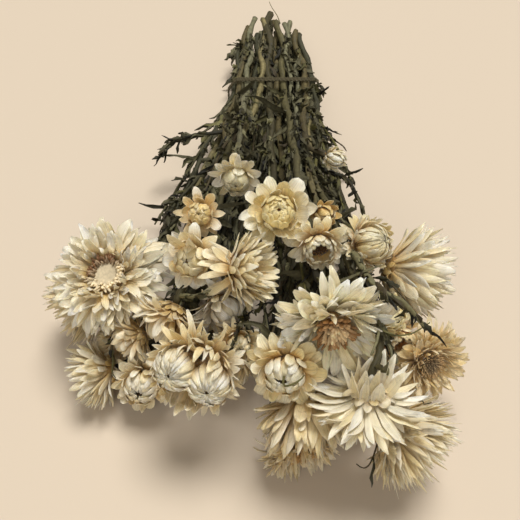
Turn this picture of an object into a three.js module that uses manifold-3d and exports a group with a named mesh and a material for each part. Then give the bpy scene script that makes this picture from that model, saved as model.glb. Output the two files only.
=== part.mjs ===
import * as THREE from 'three';
import Module from 'manifold-3d';

// A tied bunch of dried strawflowers lying on a flat surface, in millimetres.
// +Z is up, and +Y runs along the stems, from the flower heads to the cut ends.

const wasm = await Module();
wasm.setup();

// ---------- driving dimensions ----------

const LAYOUT_SHIFT = new THREE.Vector3(5.8, -79.8, 0); // puts the origin under the middle of the bunch
const CLEARANCE = 0.3;                                 // gap between neighbouring pieces

// Flower heads: place of the bract plane's centre, the way it faces (azimuth, elevation), radius, form
const HEADS = [
  [-79, -29, 60, -105, 68, 30, 'open'],
  [-94, -23, 34, -150, -10, 21.5, 'bell'],
  [-83, -61, 19, -158, -8, 18, 'bell'],
  [-61, -69, 23, -95, 25, 18, 'half'],
  [-30, -79, 55, -100, 30, 24.5, 'full'],
  [-11, -67, 56, -80, 35, 12, 'half'],
  [-45, -51, 57, -120, -35, 19.5, 'half'],
  [-33, -29, 75, -110, 40, 17, 'half'],
  [-11, -41, 80, -15, 22, 17.5, 'bell'],
  [-19, -44, 58, -60, 0, 18.5, 'half'],
  [-31, -1, 78, -95, 45, 14, 'half'],
  [-13, 25, 82, -90, 5, 14.5, 'half'],
  [9, -11, 88, -88, 56, 20.5, 'half'],
  [29, -25, 82, -85, 15, 15.5, 'half'],
  [53, -19, 74, -30, 40, 16.5, 'full'],
  [72, -24, 60, -10, -10, 25, 'bell'],
  [33, -74, 84, -85, 5, 26.5, 'open'],
  [12, -88, 67, -100, 28, 18.5, 'half'],
  [63, -58, 66, -60, 30, 12, 'half'],
  [85, -68, 40, -70, 25, 21.5, 'open'],
  [48, -103, 63, -100, -74, 25, 'open'],
  [65, -104, 37, -38, -12, 24, 'bell'],
  [22, -93, 43, -88, -30, 23, 'bell'],
  [20, -104, 17, -75, -10, 22.5, 'open'],
  [43, 66, 58, -50, 15, 9, 'bud'],
  [33, 2, 75, -70, 35, 10, 'bud'],
  [-80, -40, 17, -160, -10, 15, 'half'],
  [70, -30, 30, -15, -8, 21, 'half'],
  [-16, -56, 24, -95, -15, 21, 'half'],
  [50, -80, 18, -70, -15, 19, 'half'],
  [68, -59, 50, -70, 10, 14, 'half'],
  [-64, -53, 42, -165, -25, 16.5, 'half'],
];

// Bract whorls of each form, outermost first: [tip radius, tip height, valley radius, valley height],
// then the crown that closes them, all as parts of the head's radius
const FORMS = {
  open: {
    whorls: [[1.00, -0.04, 0.50, -0.08], [0.93, 0.16, 0.46, 0.06],
      [0.78, 0.34, 0.41, 0.20], [0.52, 0.50, 0.36, 0.32]],
    cup: [[0.30, 0.30], [0.27, 0.16]],
    crown: 0.16,
  },
  bell: {
    whorls: [[1.00, 0.22, 0.48, -0.04], [0.96, 0.52, 0.47, 0.16],
      [0.80, 0.82, 0.45, 0.38], [0.56, 0.95, 0.41, 0.57]],
    cup: [[0.34, 0.60], [0.28, 0.36]],
    crown: 0.36,
  },
  half: {
    whorls: [[1.00, 0.00, 0.48, -0.05], [0.84, 0.28, 0.46, 0.14],
      [0.62, 0.56, 0.44, 0.36], [0.26, 0.74, 0.34, 0.58]],
    cup: [],
    crown: 0.62,
  },
  full: {
    whorls: [[1.00, 0.05, 0.54, -0.03], [0.92, 0.36, 0.55, 0.18],
      [0.74, 0.66, 0.52, 0.45], [0.34, 0.88, 0.40, 0.70]],
    cup: [],
    crown: 0.76,
  },
  bud: {
    whorls: [[0.85, 0.20, 0.55, -0.05], [0.95, 0.70, 0.68, 0.40], [0.60, 1.20, 0.60, 0.85]],
    cup: [],
    crown: 1.10,
  },
};
const BASE_RADIUS = 0.15;       // flat under the head, where the stem meets it, part of the radius
const BASE_HEIGHT = -0.28;
const CORE_HEIGHT = 0.2;        // middle of the head's bulk above the bract plane
const LARGE_HEAD = 20;        // heads from this radius up carry more bracts in a whorl
const BRACT_STEPS = 4;          // points of a ring for each bract: tip, shoulder, valley, shoulder
const SHOULDER = 0.9;           // radius of a bract's shoulders, as part of its tip's
const SHOULDER_TURN = 0.55;     // how far the shoulders stand from the tip, in steps
const FLOOR_SINK = 0.8;         // lowest bracts are pressed this deep into the surface, then cut flat

// Florets: a raised disc in the cup of each open or bell-shaped head
const DISC_POINTS = 9;
const DISC_RINGS = [[1.00, 0.00, 0.00], [0.98, 0.10, 0.04], [0.62, 0.20, 0.06]];
const DISC_CROWN = 0.12;

// Stems
const STEM_SIDES = 5;
const STEM_RADIUS = 2.9;        // at the tie and the cut end
const NECK_RADIUS = 1.6;        // under the head
const NECK_LENGTH = 10;
const STEM_STEPS = 7;           // free points between the neck and the tie
const TIE_Y = 188;
const TIE_GRIP = 6;             // the stems run straight this far on both sides of the tie
const STEEPEST_ARCH = 0.2;      // how steeply the stems of nodding heads rise behind them
const TIE_X = 10;
const ROW_SIZES = [8, 8, 8, 8]; // stems in each row at the tie, lowest row first
const ROW_RISE = 6.4;
const TWIN_STEP = 6.2;          // between the two stems of one shoot, which join behind the tie
const SHOOT_STEP = 10.4;
const TWIN_LEAN = 0.6;          // how far each leans over to join the other
const ROW_STAGGER = 2.2;
const LONGEST_END = 104;        // from the tie to the cut end, in the middle of the bunch
const END_DROP = 26;            // how much shorter the outermost stems are
const END_DROP_AT = 30;         // distance of those from the middle
const END_SCATTER = 20;
const JOIN_REACH = 14;          // from the end of the tie's grip to where the two join
const END_SPREAD = 0.78;        // the cut ends draw together this much
const RELAX_ROUNDS = 180;
const SETTLE_ROUNDS = 60;       // last rounds, with no spring
const SPRING = 0.12;
const STEM_GAP = 0.5;
const HEAD_KEEP_OUT = 0.62;     // stems pass a head no nearer than this part of its radius

// Leaves
const LEAF_SITES = [0.12, 0.28, 0.44, 0.58, 0.7]; // along the stem, from the head to the cut end
const LEAF_TRIES = 14;
const LEAVES_PER_STEM = 2;
const EDGE_LEAF_TIPS = [         // long leaves that stand out of the bunch, by where they end
  [-64, 100, 30], [-57, 74, 34], [-47, 138, 20], [49, 170, 24], [62, 50, 30], [-68, 36, 36],
];
const EDGE_LEAF_WIDTH = 5.5;
const EDGE_LEAF_BACK = 14;       // they leave their stem this far behind their tip
const EDGE_LEAF_SAG = 4;
const LEAF_LENGTH = 25;
const LEAF_SPAN = 95;           // leaves end this near to the middle of the bunch, from left to right
const LEAF_WIDTH = 6.5;
const LEAF_THICKNESS = 0.9;

// Tie
const TWINE_THICKNESS = 1.5;
const TWINE_WIDTH = 3.2;
const TWINE_SLACK = 0.35;
const TWINE_SIDES = 16;

// ---------- materials ----------

const BRACT = new THREE.MeshStandardMaterial({ color: 0xe8dabc, roughness: 0.55, metalness: 0 });
const FLORET = new THREE.MeshStandardMaterial({ color: 0x9a6a3c, roughness: 0.85, metalness: 0 });
const FOLIAGE = new THREE.MeshStandardMaterial({ color: 0x55543c, roughness: 0.9, metalness: 0 });
const TWINE = new THREE.MeshStandardMaterial({ color: 0x8d8875, roughness: 0.95, metalness: 0 });

// ---------- small helpers ----------

const clamp = THREE.MathUtils.clamp;
const radians = THREE.MathUtils.degToRad;
const UP = new THREE.Vector3(0, 0, 1);

function along(origin, direction, distance) {
  return origin.clone().addScaledVector(direction, distance);
}

function facing(azimuth, elevation) {
  const level = Math.cos(radians(elevation));
  return new THREE.Vector3(
    Math.cos(radians(azimuth)) * level,
    Math.sin(radians(azimuth)) * level,
    Math.sin(radians(elevation)),
  );
}

// repeatable random draws between 0 and 1
function drawsFrom(seed) {
  let state = 1 + seed * 48271;
  const next = () => {
    state = (state * 16807) % 2147483647;
    return state / 2147483647;
  };
  next();
  next();
  return next;
}

function solidFrom(points, faces) {
  const vertProperties = new Float32Array(points.flatMap((point) => point.toArray()));
  const triVerts = new Uint32Array(faces.flat());
  return new wasm.Manifold(new wasm.Mesh({ numProp: 3, vertProperties, triVerts }));
}

function meshFrom(name, solid, material) {
  const { numProp, vertProperties, triVerts } = solid.getMesh();
  const positions = [];
  for (let start = 0; start < vertProperties.length; start += numProp) {
    positions.push(...vertProperties.slice(start, start + 3));
  }
  const geometry = new THREE.BufferGeometry();
  geometry.setAttribute('position', new THREE.Float32BufferAttribute(positions, 3));
  geometry.setIndex([...triVerts]);
  geometry.computeVertexNormals();
  const mesh = new THREE.Mesh(geometry, material);
  mesh.name = name;
  return mesh;
}

// Closed skin over rings of equal point count, between a bottom and a top point.
// Each quad is split along the diagonal that falls on its fold: period is the number of points
// between two tips of a ring, and the tips of one ring stand between the tips of the next.
function ringedSolid(bottom, rings, top, period = 2) {
  const count = rings[0].length;
  const points = [bottom, ...rings.flat(), top];
  const last = points.length - 1;
  const faces = [];
  for (let i = 0; i < count; i++) {
    const j = (i + 1) % count;
    faces.push([0, 1 + j, 1 + i]);
    rings.slice(1).forEach((_, level) => {
      const lower = 1 + level * count;
      const upper = lower + count;
      const sinceTip = (i + (level % 2) * period / 2) % period;
      if (sinceTip < period / 2) {
        faces.push([lower + i, lower + j, upper + i], [lower + j, upper + j, upper + i]);
      } else {
        faces.push([lower + i, lower + j, upper + j], [lower + i, upper + j, upper + i]);
      }
    });
    faces.push([last, last - count + i, last - count + j]);
  }
  return solidFrom(points, faces);
}

// ---------- flower heads ----------

function layOutHead([x, y, z, azimuth, elevation, radius, form], index) {
  const place = new THREE.Vector3(x, y, z).add(LAYOUT_SHIFT);
  const axis = facing(azimuth, elevation);
  const side = new THREE.Vector3().crossVectors(axis, UP).normalize();
  const rise = new THREE.Vector3().crossVectors(axis, side);
  return {
    index, place, axis, side, rise, radius, form,
    name: String(index + 1).padStart(2, '0'),
    core: along(place, axis, CORE_HEIGHT * radius),
  };
}

// point of a head from its distance to the axis, its height and its angle round the axis
function headPoint(head, distance, height, angle) {
  return along(head.place, head.axis, height * head.radius)
    .addScaledVector(head.side, distance * head.radius * Math.cos(angle))
    .addScaledVector(head.rise, distance * head.radius * Math.sin(angle));
}

// half-spaces that keep a head clear of its neighbours, the stems, the leaves and the surface
function roomOf(head, heads, capsules) {
  const walls = [{ normal: new THREE.Vector3(0, 0, -1), limit: head.core.z + FLOOR_SINK }];
  for (const other of heads) {
    const apart = new THREE.Vector3().subVectors(other.core, head.core);
    const distance = apart.length();
    if (other !== head && distance < 1.2 * (head.radius + other.radius)) {
      const share = head.radius / (head.radius + other.radius);
      walls.push({ normal: apart.normalize(), limit: share * distance - CLEARANCE / 2 });
    }
  }
  for (const capsule of capsules) {
    const nearest = new THREE.Vector3();
    capsule.line.closestPointToPoint(head.core, true, nearest);
    const apart = nearest.sub(head.core);
    const limit = apart.length() - capsule.radius - CLEARANCE;
    if (capsule.neckOf !== head.index && limit < 1.2 * head.radius) {
      walls.push({ normal: apart.normalize(), limit });
    }
  }
  return walls;
}

// pulls a point towards the head's core until it stands inside the room
function confine(point, head, walls) {
  const reach = point.clone().sub(head.core);
  let share = 1;
  for (const { normal, limit } of walls) {
    const depth = normal.dot(reach);
    if (depth > limit) share = Math.min(share, limit / depth);
  }
  return along(head.core, reach, share);
}

function headSolid(head, walls) {
  const { whorls, cup, crown } = FORMS[head.form];
  const draw = drawsFrom(head.index + 1);
  const count = BRACT_STEPS * (head.radius >= LARGE_HEAD ? 7 : 6);
  const ring = (radiusAndHeightAt) => Array.from({ length: count }, (_, i) => {
    const [distance, height, turn = 0] = radiusAndHeightAt(i);
    const point = headPoint(head, distance, height, (i + turn) * 2 * Math.PI / count);
    return confine(point, head, walls);
  });
  const rings = [ring(() => [BASE_RADIUS, BASE_HEIGHT])];
  whorls.forEach(([tipRadius, tipHeight, valleyRadius, valleyHeight], level) => {
    const wobble = Array.from({ length: count / BRACT_STEPS + 1 }, () => draw() - 0.5);
    rings.push(ring((i) => {
      const fromTip = i + (level % 2 ? 0 : BRACT_STEPS / 2);
      const step = fromTip % BRACT_STEPS;
      if (step === BRACT_STEPS / 2) return [valleyRadius, valleyHeight];
      const bract = Math.round(fromTip / BRACT_STEPS) % (count / BRACT_STEPS);
      const reach = tipRadius * (0.97 + 0.14 * wobble[bract]);
      const height = tipHeight + 0.12 * wobble[bract + 1];
      if (step === 0) return [reach, height];
      return [SHOULDER * reach, height, step === 1 ? SHOULDER_TURN - 1 : 1 - SHOULDER_TURN];
    }));
  });
  cup.forEach(([distance, height]) => rings.push(ring(() => [distance, height])));
  const bottom = headPoint(head, 0, BASE_HEIGHT, 0);
  return ringedSolid(bottom, rings, headPoint(head, 0, crown, 0), BRACT_STEPS);
}

// a block under the surface that the bunch lies on
function groundSolid() {
  const geometry = new THREE.BoxGeometry(600, 600, 20);
  geometry.translate(0, 0, -10);
  const { position } = geometry.attributes;
  const corners = [];
  const cornerOf = new Map();
  const vertexAt = (i) => {
    const point = new THREE.Vector3().fromBufferAttribute(position, i);
    const key = point.toArray().join();
    if (!cornerOf.has(key)) cornerOf.set(key, corners.push(point) - 1);
    return cornerOf.get(key);
  };
  const flat = [...geometry.index.array].map(vertexAt);
  const faces = [];
  for (let i = 0; i < flat.length; i += 3) faces.push(flat.slice(i, i + 3));
  return solidFrom(corners, faces);
}

function discSolid(head) {
  const [[cupRadius], [floorRadius, floorHeight]] = FORMS[head.form].cup;
  const reach = Math.min(cupRadius, floorRadius) - 2 * CLEARANCE / head.radius;
  const base = floorHeight + CLEARANCE / head.radius;
  const rings = DISC_RINGS.map(([share, height, relief], level) => (
    Array.from({ length: DISC_POINTS }, (_, i) => {
      const lift = i % 2 === level % 2 ? relief : 0;
      return headPoint(head, reach * share, base + height + lift, i * 2 * Math.PI / DISC_POINTS);
    })));
  return ringedSolid(headPoint(head, 0, base, 0), rings, headPoint(head, 0, base + DISC_CROWN, 0));
}

// ---------- stems ----------

// where each stem passes the tie: high heads above low ones, and in the heads' order from left to right
function slotsAtTie(heads) {
  const byHeight = [...heads].sort((a, b) => (a.place.z + a.place.y / 4) - (b.place.z + b.place.y / 4));
  const slots = [];
  let taken = 0;
  ROW_SIZES.forEach((size, row) => {
    const members = byHeight.slice(taken, taken + size).sort((a, b) => a.place.x - b.place.x);
    const width = (size / 2) * TWIN_STEP + (size / 2 - 1) * SHOOT_STEP;
    const left = TIE_X + LAYOUT_SHIFT.x - width / 2 + (row % 2 ? ROW_STAGGER : -ROW_STAGGER);
    const lowest = STEM_RADIUS + TWINE_SLACK + TWINE_THICKNESS;
    members.forEach((head, i) => {
      const x = left + Math.ceil(i / 2) * TWIN_STEP + Math.floor(i / 2) * SHOOT_STEP;
      const lean = i % 2 ? -TWIN_LEAN : TWIN_LEAN;
      slots.push({ head, shoot: (taken + i) >> 1, x, z: lowest + row * ROW_RISE, lean });
    });
    taken += size;
  });
  return slots;
}

function layOutStem({ head, shoot, x, z, lean }) {
  const draw = drawsFrom(100 + head.index);
  const base = along(head.place, head.axis, BASE_HEIGHT * head.radius - CLEARANCE);
  const neck = along(base, head.axis, -NECK_LENGTH);
  const tieY = TIE_Y + LAYOUT_SHIFT.y;
  const before = new THREE.Vector3(x, tieY - TIE_GRIP, z);
  const after = new THREE.Vector3(x, tieY + TIE_GRIP, z);
  const sweep = 0.4 * before.distanceTo(neck);
  const onward = head.axis.clone().setZ(Math.max(head.axis.z, -STEEPEST_ARCH));
  const route = new THREE.CubicBezierCurve3(
    neck,
    along(neck, onward, -0.5 * sweep),
    before.clone().lerp(neck, 0.35),
    before,
  );
  const middleX = TIE_X + LAYOUT_SHIFT.x;
  const outward = Math.min(1, Math.abs(x - middleX) / END_DROP_AT);
  const reach = LONGEST_END - END_DROP * outward ** 2 - END_SCATTER * draw();
  const end = new THREE.Vector3(middleX + (x - middleX) * END_SPREAD, tieY + reach, z);
  const join = after.clone().lerp(end, JOIN_REACH / (end.y - after.y));
  join.x += lean;
  const free = route.getPoints(STEM_STEPS + 1).slice(1, -1);
  const points = [base, neck, ...free, before, after, join, end];
  const radii = points.map((_, k) => {
    const share = clamp(k / (STEM_STEPS + 2), 0, 1);
    return NECK_RADIUS + (STEM_RADIUS - NECK_RADIUS) * share;
  });
  const fixed = points.map((_, k) => k < 2 || k > STEM_STEPS + 1);
  const curl = points.map((point, k) => (fixed[k]
    ? new THREE.Vector3()
    : point.clone().sub(points[k - 1].clone().lerp(points[k + 1], 0.5))));
  return { head, shoot, points, radii, fixed, curl };
}

// nearest places of two segments, as shares of their lengths
function nearestShares(a0, a1, b0, b1) {
  const a = a1.clone().sub(a0);
  const b = b1.clone().sub(b0);
  const gap = a0.clone().sub(b0);
  const aa = a.dot(a);
  const bb = b.dot(b);
  const ab = a.dot(b);
  const ag = a.dot(gap);
  const bg = b.dot(gap);
  const spread = aa * bb - ab * ab;
  const first = spread > 1e-6 ? clamp((ab * bg - ag * bb) / spread, 0, 1) : 0.5;
  const t = clamp((ab * first + bg) / bb, 0, 1);
  return [clamp((ab * t - ag) / aa, 0, 1), t];
}

function pushSegments(one, i, two, j) {
  const [a0, a1] = [one.points[i], one.points[i + 1]];
  const [b0, b1] = [two.points[j], two.points[j + 1]];
  const need = one.radii[i + 1] + two.radii[j + 1] + STEM_GAP;
  const reach = need + 0.5 * (a0.distanceTo(a1) + b0.distanceTo(b1));
  const middles = a0.clone().add(a1).sub(b0).sub(b1).length() / 2;
  if (middles > reach) return;
  const [s, t] = nearestShares(a0, a1, b0, b1);
  const apart = a0.clone().lerp(a1, s).sub(b0.clone().lerp(b1, t));
  const distance = apart.length();
  if (distance >= need) return;
  apart.multiplyScalar((need - distance) / distance);
  one.moves[i].addScaledVector(apart, 0.5 * (1 - s));
  one.moves[i + 1].addScaledVector(apart, 0.5 * s);
  two.moves[j].addScaledVector(apart, -0.5 * (1 - t));
  two.moves[j + 1].addScaledVector(apart, -0.5 * t);
}

function pushFromHead(stem, k, head) {
  const line = new THREE.Line3(stem.points[k], stem.points[k + 1]);
  const share = line.closestPointToPointParameter(head.core, true);
  const apart = line.at(share, new THREE.Vector3()).sub(head.core);
  const distance = apart.length();
  const need = HEAD_KEEP_OUT * head.radius + stem.radii[k + 1] + STEM_GAP;
  if (distance >= need) return;
  apart.multiplyScalar((need - distance) / distance);
  stem.moves[k].addScaledVector(apart, 1 - share);
  stem.moves[k + 1].addScaledVector(apart, share);
}

// one round: stems push each other and the heads apart, then spring back a little to their own curl
function relaxOnce(stems, heads, spring) {
  const segments = STEM_STEPS + 3;
  stems.forEach((stem) => { stem.moves = stem.points.map(() => new THREE.Vector3()); });
  stems.forEach((one, order) => {
    for (let i = 0; i < segments; i++) {
      for (const two of stems.slice(order + 1)) {
        if (two.shoot === one.shoot) continue;
        for (let j = 0; j < segments; j++) pushSegments(one, i, two, j);
      }
      for (const head of heads) {
        if (head !== one.head || i > 1) pushFromHead(one, i, head);
      }
    }
  });
  for (const { points, radii, fixed, curl, moves } of stems) {
    const before = points.map((point) => point.clone());
    points.forEach((point, k) => {
      if (fixed[k]) return;
      const rest = before[k - 1].clone().lerp(before[k + 1], 0.5).add(curl[k]);
      point.lerp(rest, spring).add(moves[k].clampLength(0, 3));
      point.z = Math.max(point.z, radii[k] + CLEARANCE);
    });
  }
}

function layOutStems(heads) {
  const stems = slotsAtTie(heads).map(layOutStem);
  for (let round = 0; round < RELAX_ROUNDS; round++) {
    relaxOnce(stems, heads, round < RELAX_ROUNDS - SETTLE_ROUNDS ? SPRING : 0);
  }
  return stems;
}

// many-sided tube through the stem's points, its section carried along from the tie without twist
function tubeSolid({ points, radii }) {
  const last = points.length - 1;
  const tangents = points.map((_, k) => new THREE.Vector3().subVectors(
    points[Math.min(k + 1, last)],
    points[Math.max(k - 1, 0)],
  ).normalize());
  const sections = [];
  const sectionAt = (k, guide) => {
    const across = guide.clone().addScaledVector(tangents[k], -guide.dot(tangents[k])).normalize();
    const above = new THREE.Vector3().crossVectors(tangents[k], across);
    sections[k] = Array.from({ length: STEM_SIDES }, (_, i) => {
      const angle = i * 2 * Math.PI / STEM_SIDES;
      return along(points[k], across, radii[k] * Math.cos(angle))
        .addScaledVector(above, radii[k] * Math.sin(angle));
    });
    return across;
  };
  let guide = new THREE.Vector3(1, 0, 0);
  for (let k = last; k >= 0; k--) guide = sectionAt(k, guide);
  return ringedSolid(points[0], sections, points[last]);
}

// ---------- leaves ----------

// stations of a leaf's midrib: share of the length, and part of the full width there
const LEAF_STATIONS = [[0, 0.22], [0.35, 0.85], [0.7, 1]];

// midrib from the root on, bent by the curl towards its tip
function midribFrom(root, reach, curl) {
  return [...LEAF_STATIONS.map(([share]) => share), 1].map((share) => (
    along(root, reach, share).addScaledVector(curl, share * share)));
}

function growLeaf(stem, site, attempt) {
  const draw = drawsFrom(1000 + 500 * stem.head.index + 20 * site + attempt);
  const spot = LEAF_SITES[site] * (stem.points.length - 1) + 0.6 * (draw() - 0.5);
  const k = Math.floor(spot);
  const root = stem.points[k].clone().lerp(stem.points[k + 1], spot - k);
  const towardsHead = stem.points[k].clone().sub(stem.points[k + 1]).normalize();
  const out = new THREE.Vector3().crossVectors(towardsHead, UP).normalize()
    .applyAxisAngle(towardsHead, 2 * Math.PI * draw());
  const direction = along(out, towardsHead, 0.45 + 0.5 * draw()).normalize();
  const length = LEAF_LENGTH * (0.7 + 0.6 * draw());
  const curl = facing(360 * draw(), 90 * (draw() - 0.6)).multiplyScalar(0.35 * length);
  const flat = new THREE.Vector3().crossVectors(direction, out).normalize();
  return {
    stem,
    midrib: midribFrom(root, direction.multiplyScalar(length), curl),
    flat: along(flat, out, draw() - 0.5).normalize(),
    width: LEAF_WIDTH * (0.75 + 0.4 * draw()),
    twist: 1.6 * (draw() - 0.5),
  };
}

// a leaf from the nearest stem to a tip at the edge of the bunch
function growEdgeLeaf(tipPlace, stems) {
  const tip = new THREE.Vector3(...tipPlace).add(LAYOUT_SHIFT);
  const behind = along(tip, new THREE.Vector3(0, 1, 0), EDGE_LEAF_BACK);
  const roots = stems.flatMap((stem) => stemCapsules(stem).map(({ line }) => (
    { stem, root: line.closestPointToPoint(behind, true, new THREE.Vector3()) })));
  roots.sort((a, b) => a.root.distanceTo(behind) - b.root.distanceTo(behind));
  const { stem, root } = roots[0];
  const reach = tip.sub(root);
  const curl = new THREE.Vector3(0, 0, -EDGE_LEAF_SAG);
  const flat = new THREE.Vector3().crossVectors(reach, UP).normalize();
  const rise = along(reach, curl, -1);
  return { stem, midrib: midribFrom(root, rise, curl), flat, width: EDGE_LEAF_WIDTH, twist: 1 };
}

// the leaf as capsules round the stretches of its midrib outside the stem
function leafCapsules(leaf) {
  return LEAF_STATIONS.map((_, k) => ({
    line: new THREE.Line3(
      k ? leaf.midrib[k] : leaf.midrib[0].clone().lerp(leaf.midrib[1], 0.5),
      leaf.midrib[k + 1],
    ),
    radius: leaf.width * [0.36, 0.5, 0.46][k],
  }));
}

function stemCapsules(stem) {
  return stem.points.slice(1).map((end, k) => ({
    line: new THREE.Line3(stem.points[k], end),
    radius: Math.max(stem.radii[k], stem.radii[k + 1]),
    shoot: stem.shoot,
    neckOf: k < 1 ? stem.head.index : null,
  }));
}

function capsuleGap(one, two) {
  const [s, t] = nearestShares(one.line.start, one.line.end, two.line.start, two.line.end);
  const a = one.line.at(s, new THREE.Vector3());
  const b = two.line.at(t, new THREE.Vector3());
  return a.distanceTo(b) - one.radius - two.radius;
}

function leafFits(leaf, stemParts, leafParts, heads) {
  const tieY = TIE_Y + LAYOUT_SHIFT.y;
  return leafCapsules(leaf).every((part) => {
    const { start, end } = part.line;
    const clearOfFloor = Math.min(start.z, end.z) > part.radius + CLEARANCE;
    const withinSpan = Math.abs(end.x) < LEAF_SPAN;
    const clearOfTie = Math.min(Math.abs(start.y - tieY), Math.abs(end.y - tieY)) > TWINE_WIDTH + part.radius;
    return clearOfFloor && clearOfTie && withinSpan
      && stemParts.every((other) => other.shoot === leaf.stem.shoot || capsuleGap(part, other) > CLEARANCE)
      && leafParts.every((other) => capsuleGap(part, other) > CLEARANCE)
      && heads.every((head) => {
        const nearest = part.line.closestPointToPoint(head.core, true, new THREE.Vector3());
        return nearest.distanceTo(head.core) > 0.75 * head.radius + part.radius;
      });
  });
}

function layOutLeaves(stems, heads) {
  const stemParts = stems.flatMap(stemCapsules);
  const leafParts = [];
  const leaves = [];
  const keepIfFitting = (leaf) => {
    const fits = leafFits(leaf, stemParts, leafParts, heads);
    if (fits) {
      leaves.push(leaf);
      leafParts.push(...leafCapsules(leaf));
    }
    return fits;
  };
  EDGE_LEAF_TIPS.forEach((tip) => keepIfFitting(growEdgeLeaf(tip, stems)));
  for (const stem of stems) {
    let grown = 0;
    for (let turn = 0; turn < LEAF_SITES.length * LEAF_TRIES && grown < LEAVES_PER_STEM; turn++) {
      const site = (turn + stem.head.index) % LEAF_SITES.length;
      if (keepIfFitting(growLeaf(stem, site, Math.floor(turn / LEAF_SITES.length)))) grown += 1;
    }
  }
  return leaves;
}

function leafSolid({ midrib, flat, width, twist }) {
  const sections = LEAF_STATIONS.map(([share, part], k) => {
    const ahead = midrib[k + 1].clone().sub(midrib[Math.max(k - 1, 0)]).normalize();
    const wide = flat.clone().applyAxisAngle(ahead, twist * share);
    wide.addScaledVector(ahead, -wide.dot(ahead)).normalize();
    const thick = new THREE.Vector3().crossVectors(ahead, wide);
    return [
      along(midrib[k], wide, width * part / 2),
      along(midrib[k], thick, LEAF_THICKNESS / 2),
      along(midrib[k], wide, -width * part / 2),
      along(midrib[k], thick, -LEAF_THICKNESS / 2),
    ];
  });
  return ringedSolid(midrib[0], sections, midrib[midrib.length - 1]);
}

// ---------- tie ----------

// convex loop at a distance round the stems' section, found from the directions it faces
function loopRound(stems, distance) {
  const k = STEM_STEPS + 2;
  const directions = Array.from({ length: TWINE_SIDES }, (_, i) => (i * 2 * Math.PI) / TWINE_SIDES);
  const reaches = directions.map((angle) => Math.max(...stems.map(({ points }) => (
    points[k].x * Math.cos(angle) + points[k].z * Math.sin(angle)))) + distance);
  return directions.map((angle, i) => {
    const next = (i + 1) % TWINE_SIDES;
    const step = 2 * Math.PI / TWINE_SIDES;
    const slide = (reaches[next] - reaches[i] * Math.cos(step)) / Math.sin(step);
    return new THREE.Vector2(
      reaches[i] * Math.cos(angle) - slide * Math.sin(angle),
      reaches[i] * Math.sin(angle) + slide * Math.cos(angle),
    );
  });
}

function twineSolid(stems) {
  const inner = loopRound(stems, STEM_RADIUS + TWINE_SLACK);
  const outer = loopRound(stems, STEM_RADIUS + TWINE_SLACK + TWINE_THICKNESS);
  const near = TIE_Y + LAYOUT_SHIFT.y - TWINE_WIDTH / 2;
  const corners = [[inner, near], [outer, near], [outer, near + TWINE_WIDTH], [inner, near + TWINE_WIDTH]];
  const points = corners.flatMap(([loop, y]) => loop.map(({ x, y: z }) => new THREE.Vector3(x, y, z)));
  const faces = [];
  for (let corner = 0; corner < 4; corner++) {
    const a = corner * TWINE_SIDES;
    const b = ((corner + 1) % 4) * TWINE_SIDES;
    for (let i = 0; i < TWINE_SIDES; i++) {
      const j = (i + 1) % TWINE_SIDES;
      faces.push([a + i, b + j, a + j], [a + i, b + i, b + j]);
    }
  }
  return solidFrom(points, faces);
}

// ---------- assembly ----------

const heads = HEADS.map(layOutHead);
const stems = layOutStems(heads);
const leaves = layOutLeaves(stems, heads);
const capsules = [...stems.flatMap(stemCapsules), ...leaves.flatMap(leafCapsules)];
const ground = groundSolid();

const bunch = new THREE.Group();
bunch.name = 'dried_strawflower_bunch';

for (const head of heads) {
  const solid = headSolid(head, roomOf(head, heads, capsules)).subtract(ground);
  bunch.add(meshFrom(`flower_head_${head.name}`, solid, BRACT));
  if (FORMS[head.form].cup.length) bunch.add(meshFrom(`floret_disc_${head.name}`, discSolid(head), FLORET));
}

for (let shoot = 0; shoot < stems.length / 2; shoot++) {
  const twins = stems.filter((stem) => stem.shoot === shoot);
  const blades = leaves.filter((leaf) => leaf.stem.shoot === shoot);
  const solid = [...twins.map(tubeSolid), ...blades.map(leafSolid)].reduce((sum, next) => sum.add(next));
  bunch.add(meshFrom(`leafy_stems_${String(shoot + 1).padStart(2, '0')}`, solid, FOLIAGE));
}

bunch.add(meshFrom('binding_twine', twineSolid(stems), TWINE));

export default bunch;
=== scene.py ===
"""A tied bunch of dried strawflowers lying on a flat surface, dressed bract by bract and leaf by leaf.

Lengths are in millimetres in the bunch's own frame, and turn into metres where a piece is made.
"""
import math
from types import SimpleNamespace

import bpy
import numpy as np
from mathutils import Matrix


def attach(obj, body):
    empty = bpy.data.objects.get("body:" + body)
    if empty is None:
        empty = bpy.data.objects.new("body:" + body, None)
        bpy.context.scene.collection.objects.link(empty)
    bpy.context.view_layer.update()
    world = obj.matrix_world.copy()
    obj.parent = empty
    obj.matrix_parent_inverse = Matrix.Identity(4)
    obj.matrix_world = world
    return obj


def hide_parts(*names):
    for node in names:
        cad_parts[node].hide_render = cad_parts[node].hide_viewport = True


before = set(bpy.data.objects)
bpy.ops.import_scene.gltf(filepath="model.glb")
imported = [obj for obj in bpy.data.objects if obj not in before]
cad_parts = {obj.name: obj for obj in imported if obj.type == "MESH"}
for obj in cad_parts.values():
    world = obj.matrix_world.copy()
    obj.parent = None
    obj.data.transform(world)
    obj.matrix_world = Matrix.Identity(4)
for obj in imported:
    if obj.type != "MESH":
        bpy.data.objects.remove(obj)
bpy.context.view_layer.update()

# ---------- layout shared with the solids ----------

LAYOUT_SHIFT = np.array([5.8, -79.8, 0.0])
CLEARANCE = 0.3                  # least gap between solids
BASE_HEIGHT = -0.28              # a head's foot and its core, above the bract plane in radii
CORE_HEIGHT = 0.2

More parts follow.
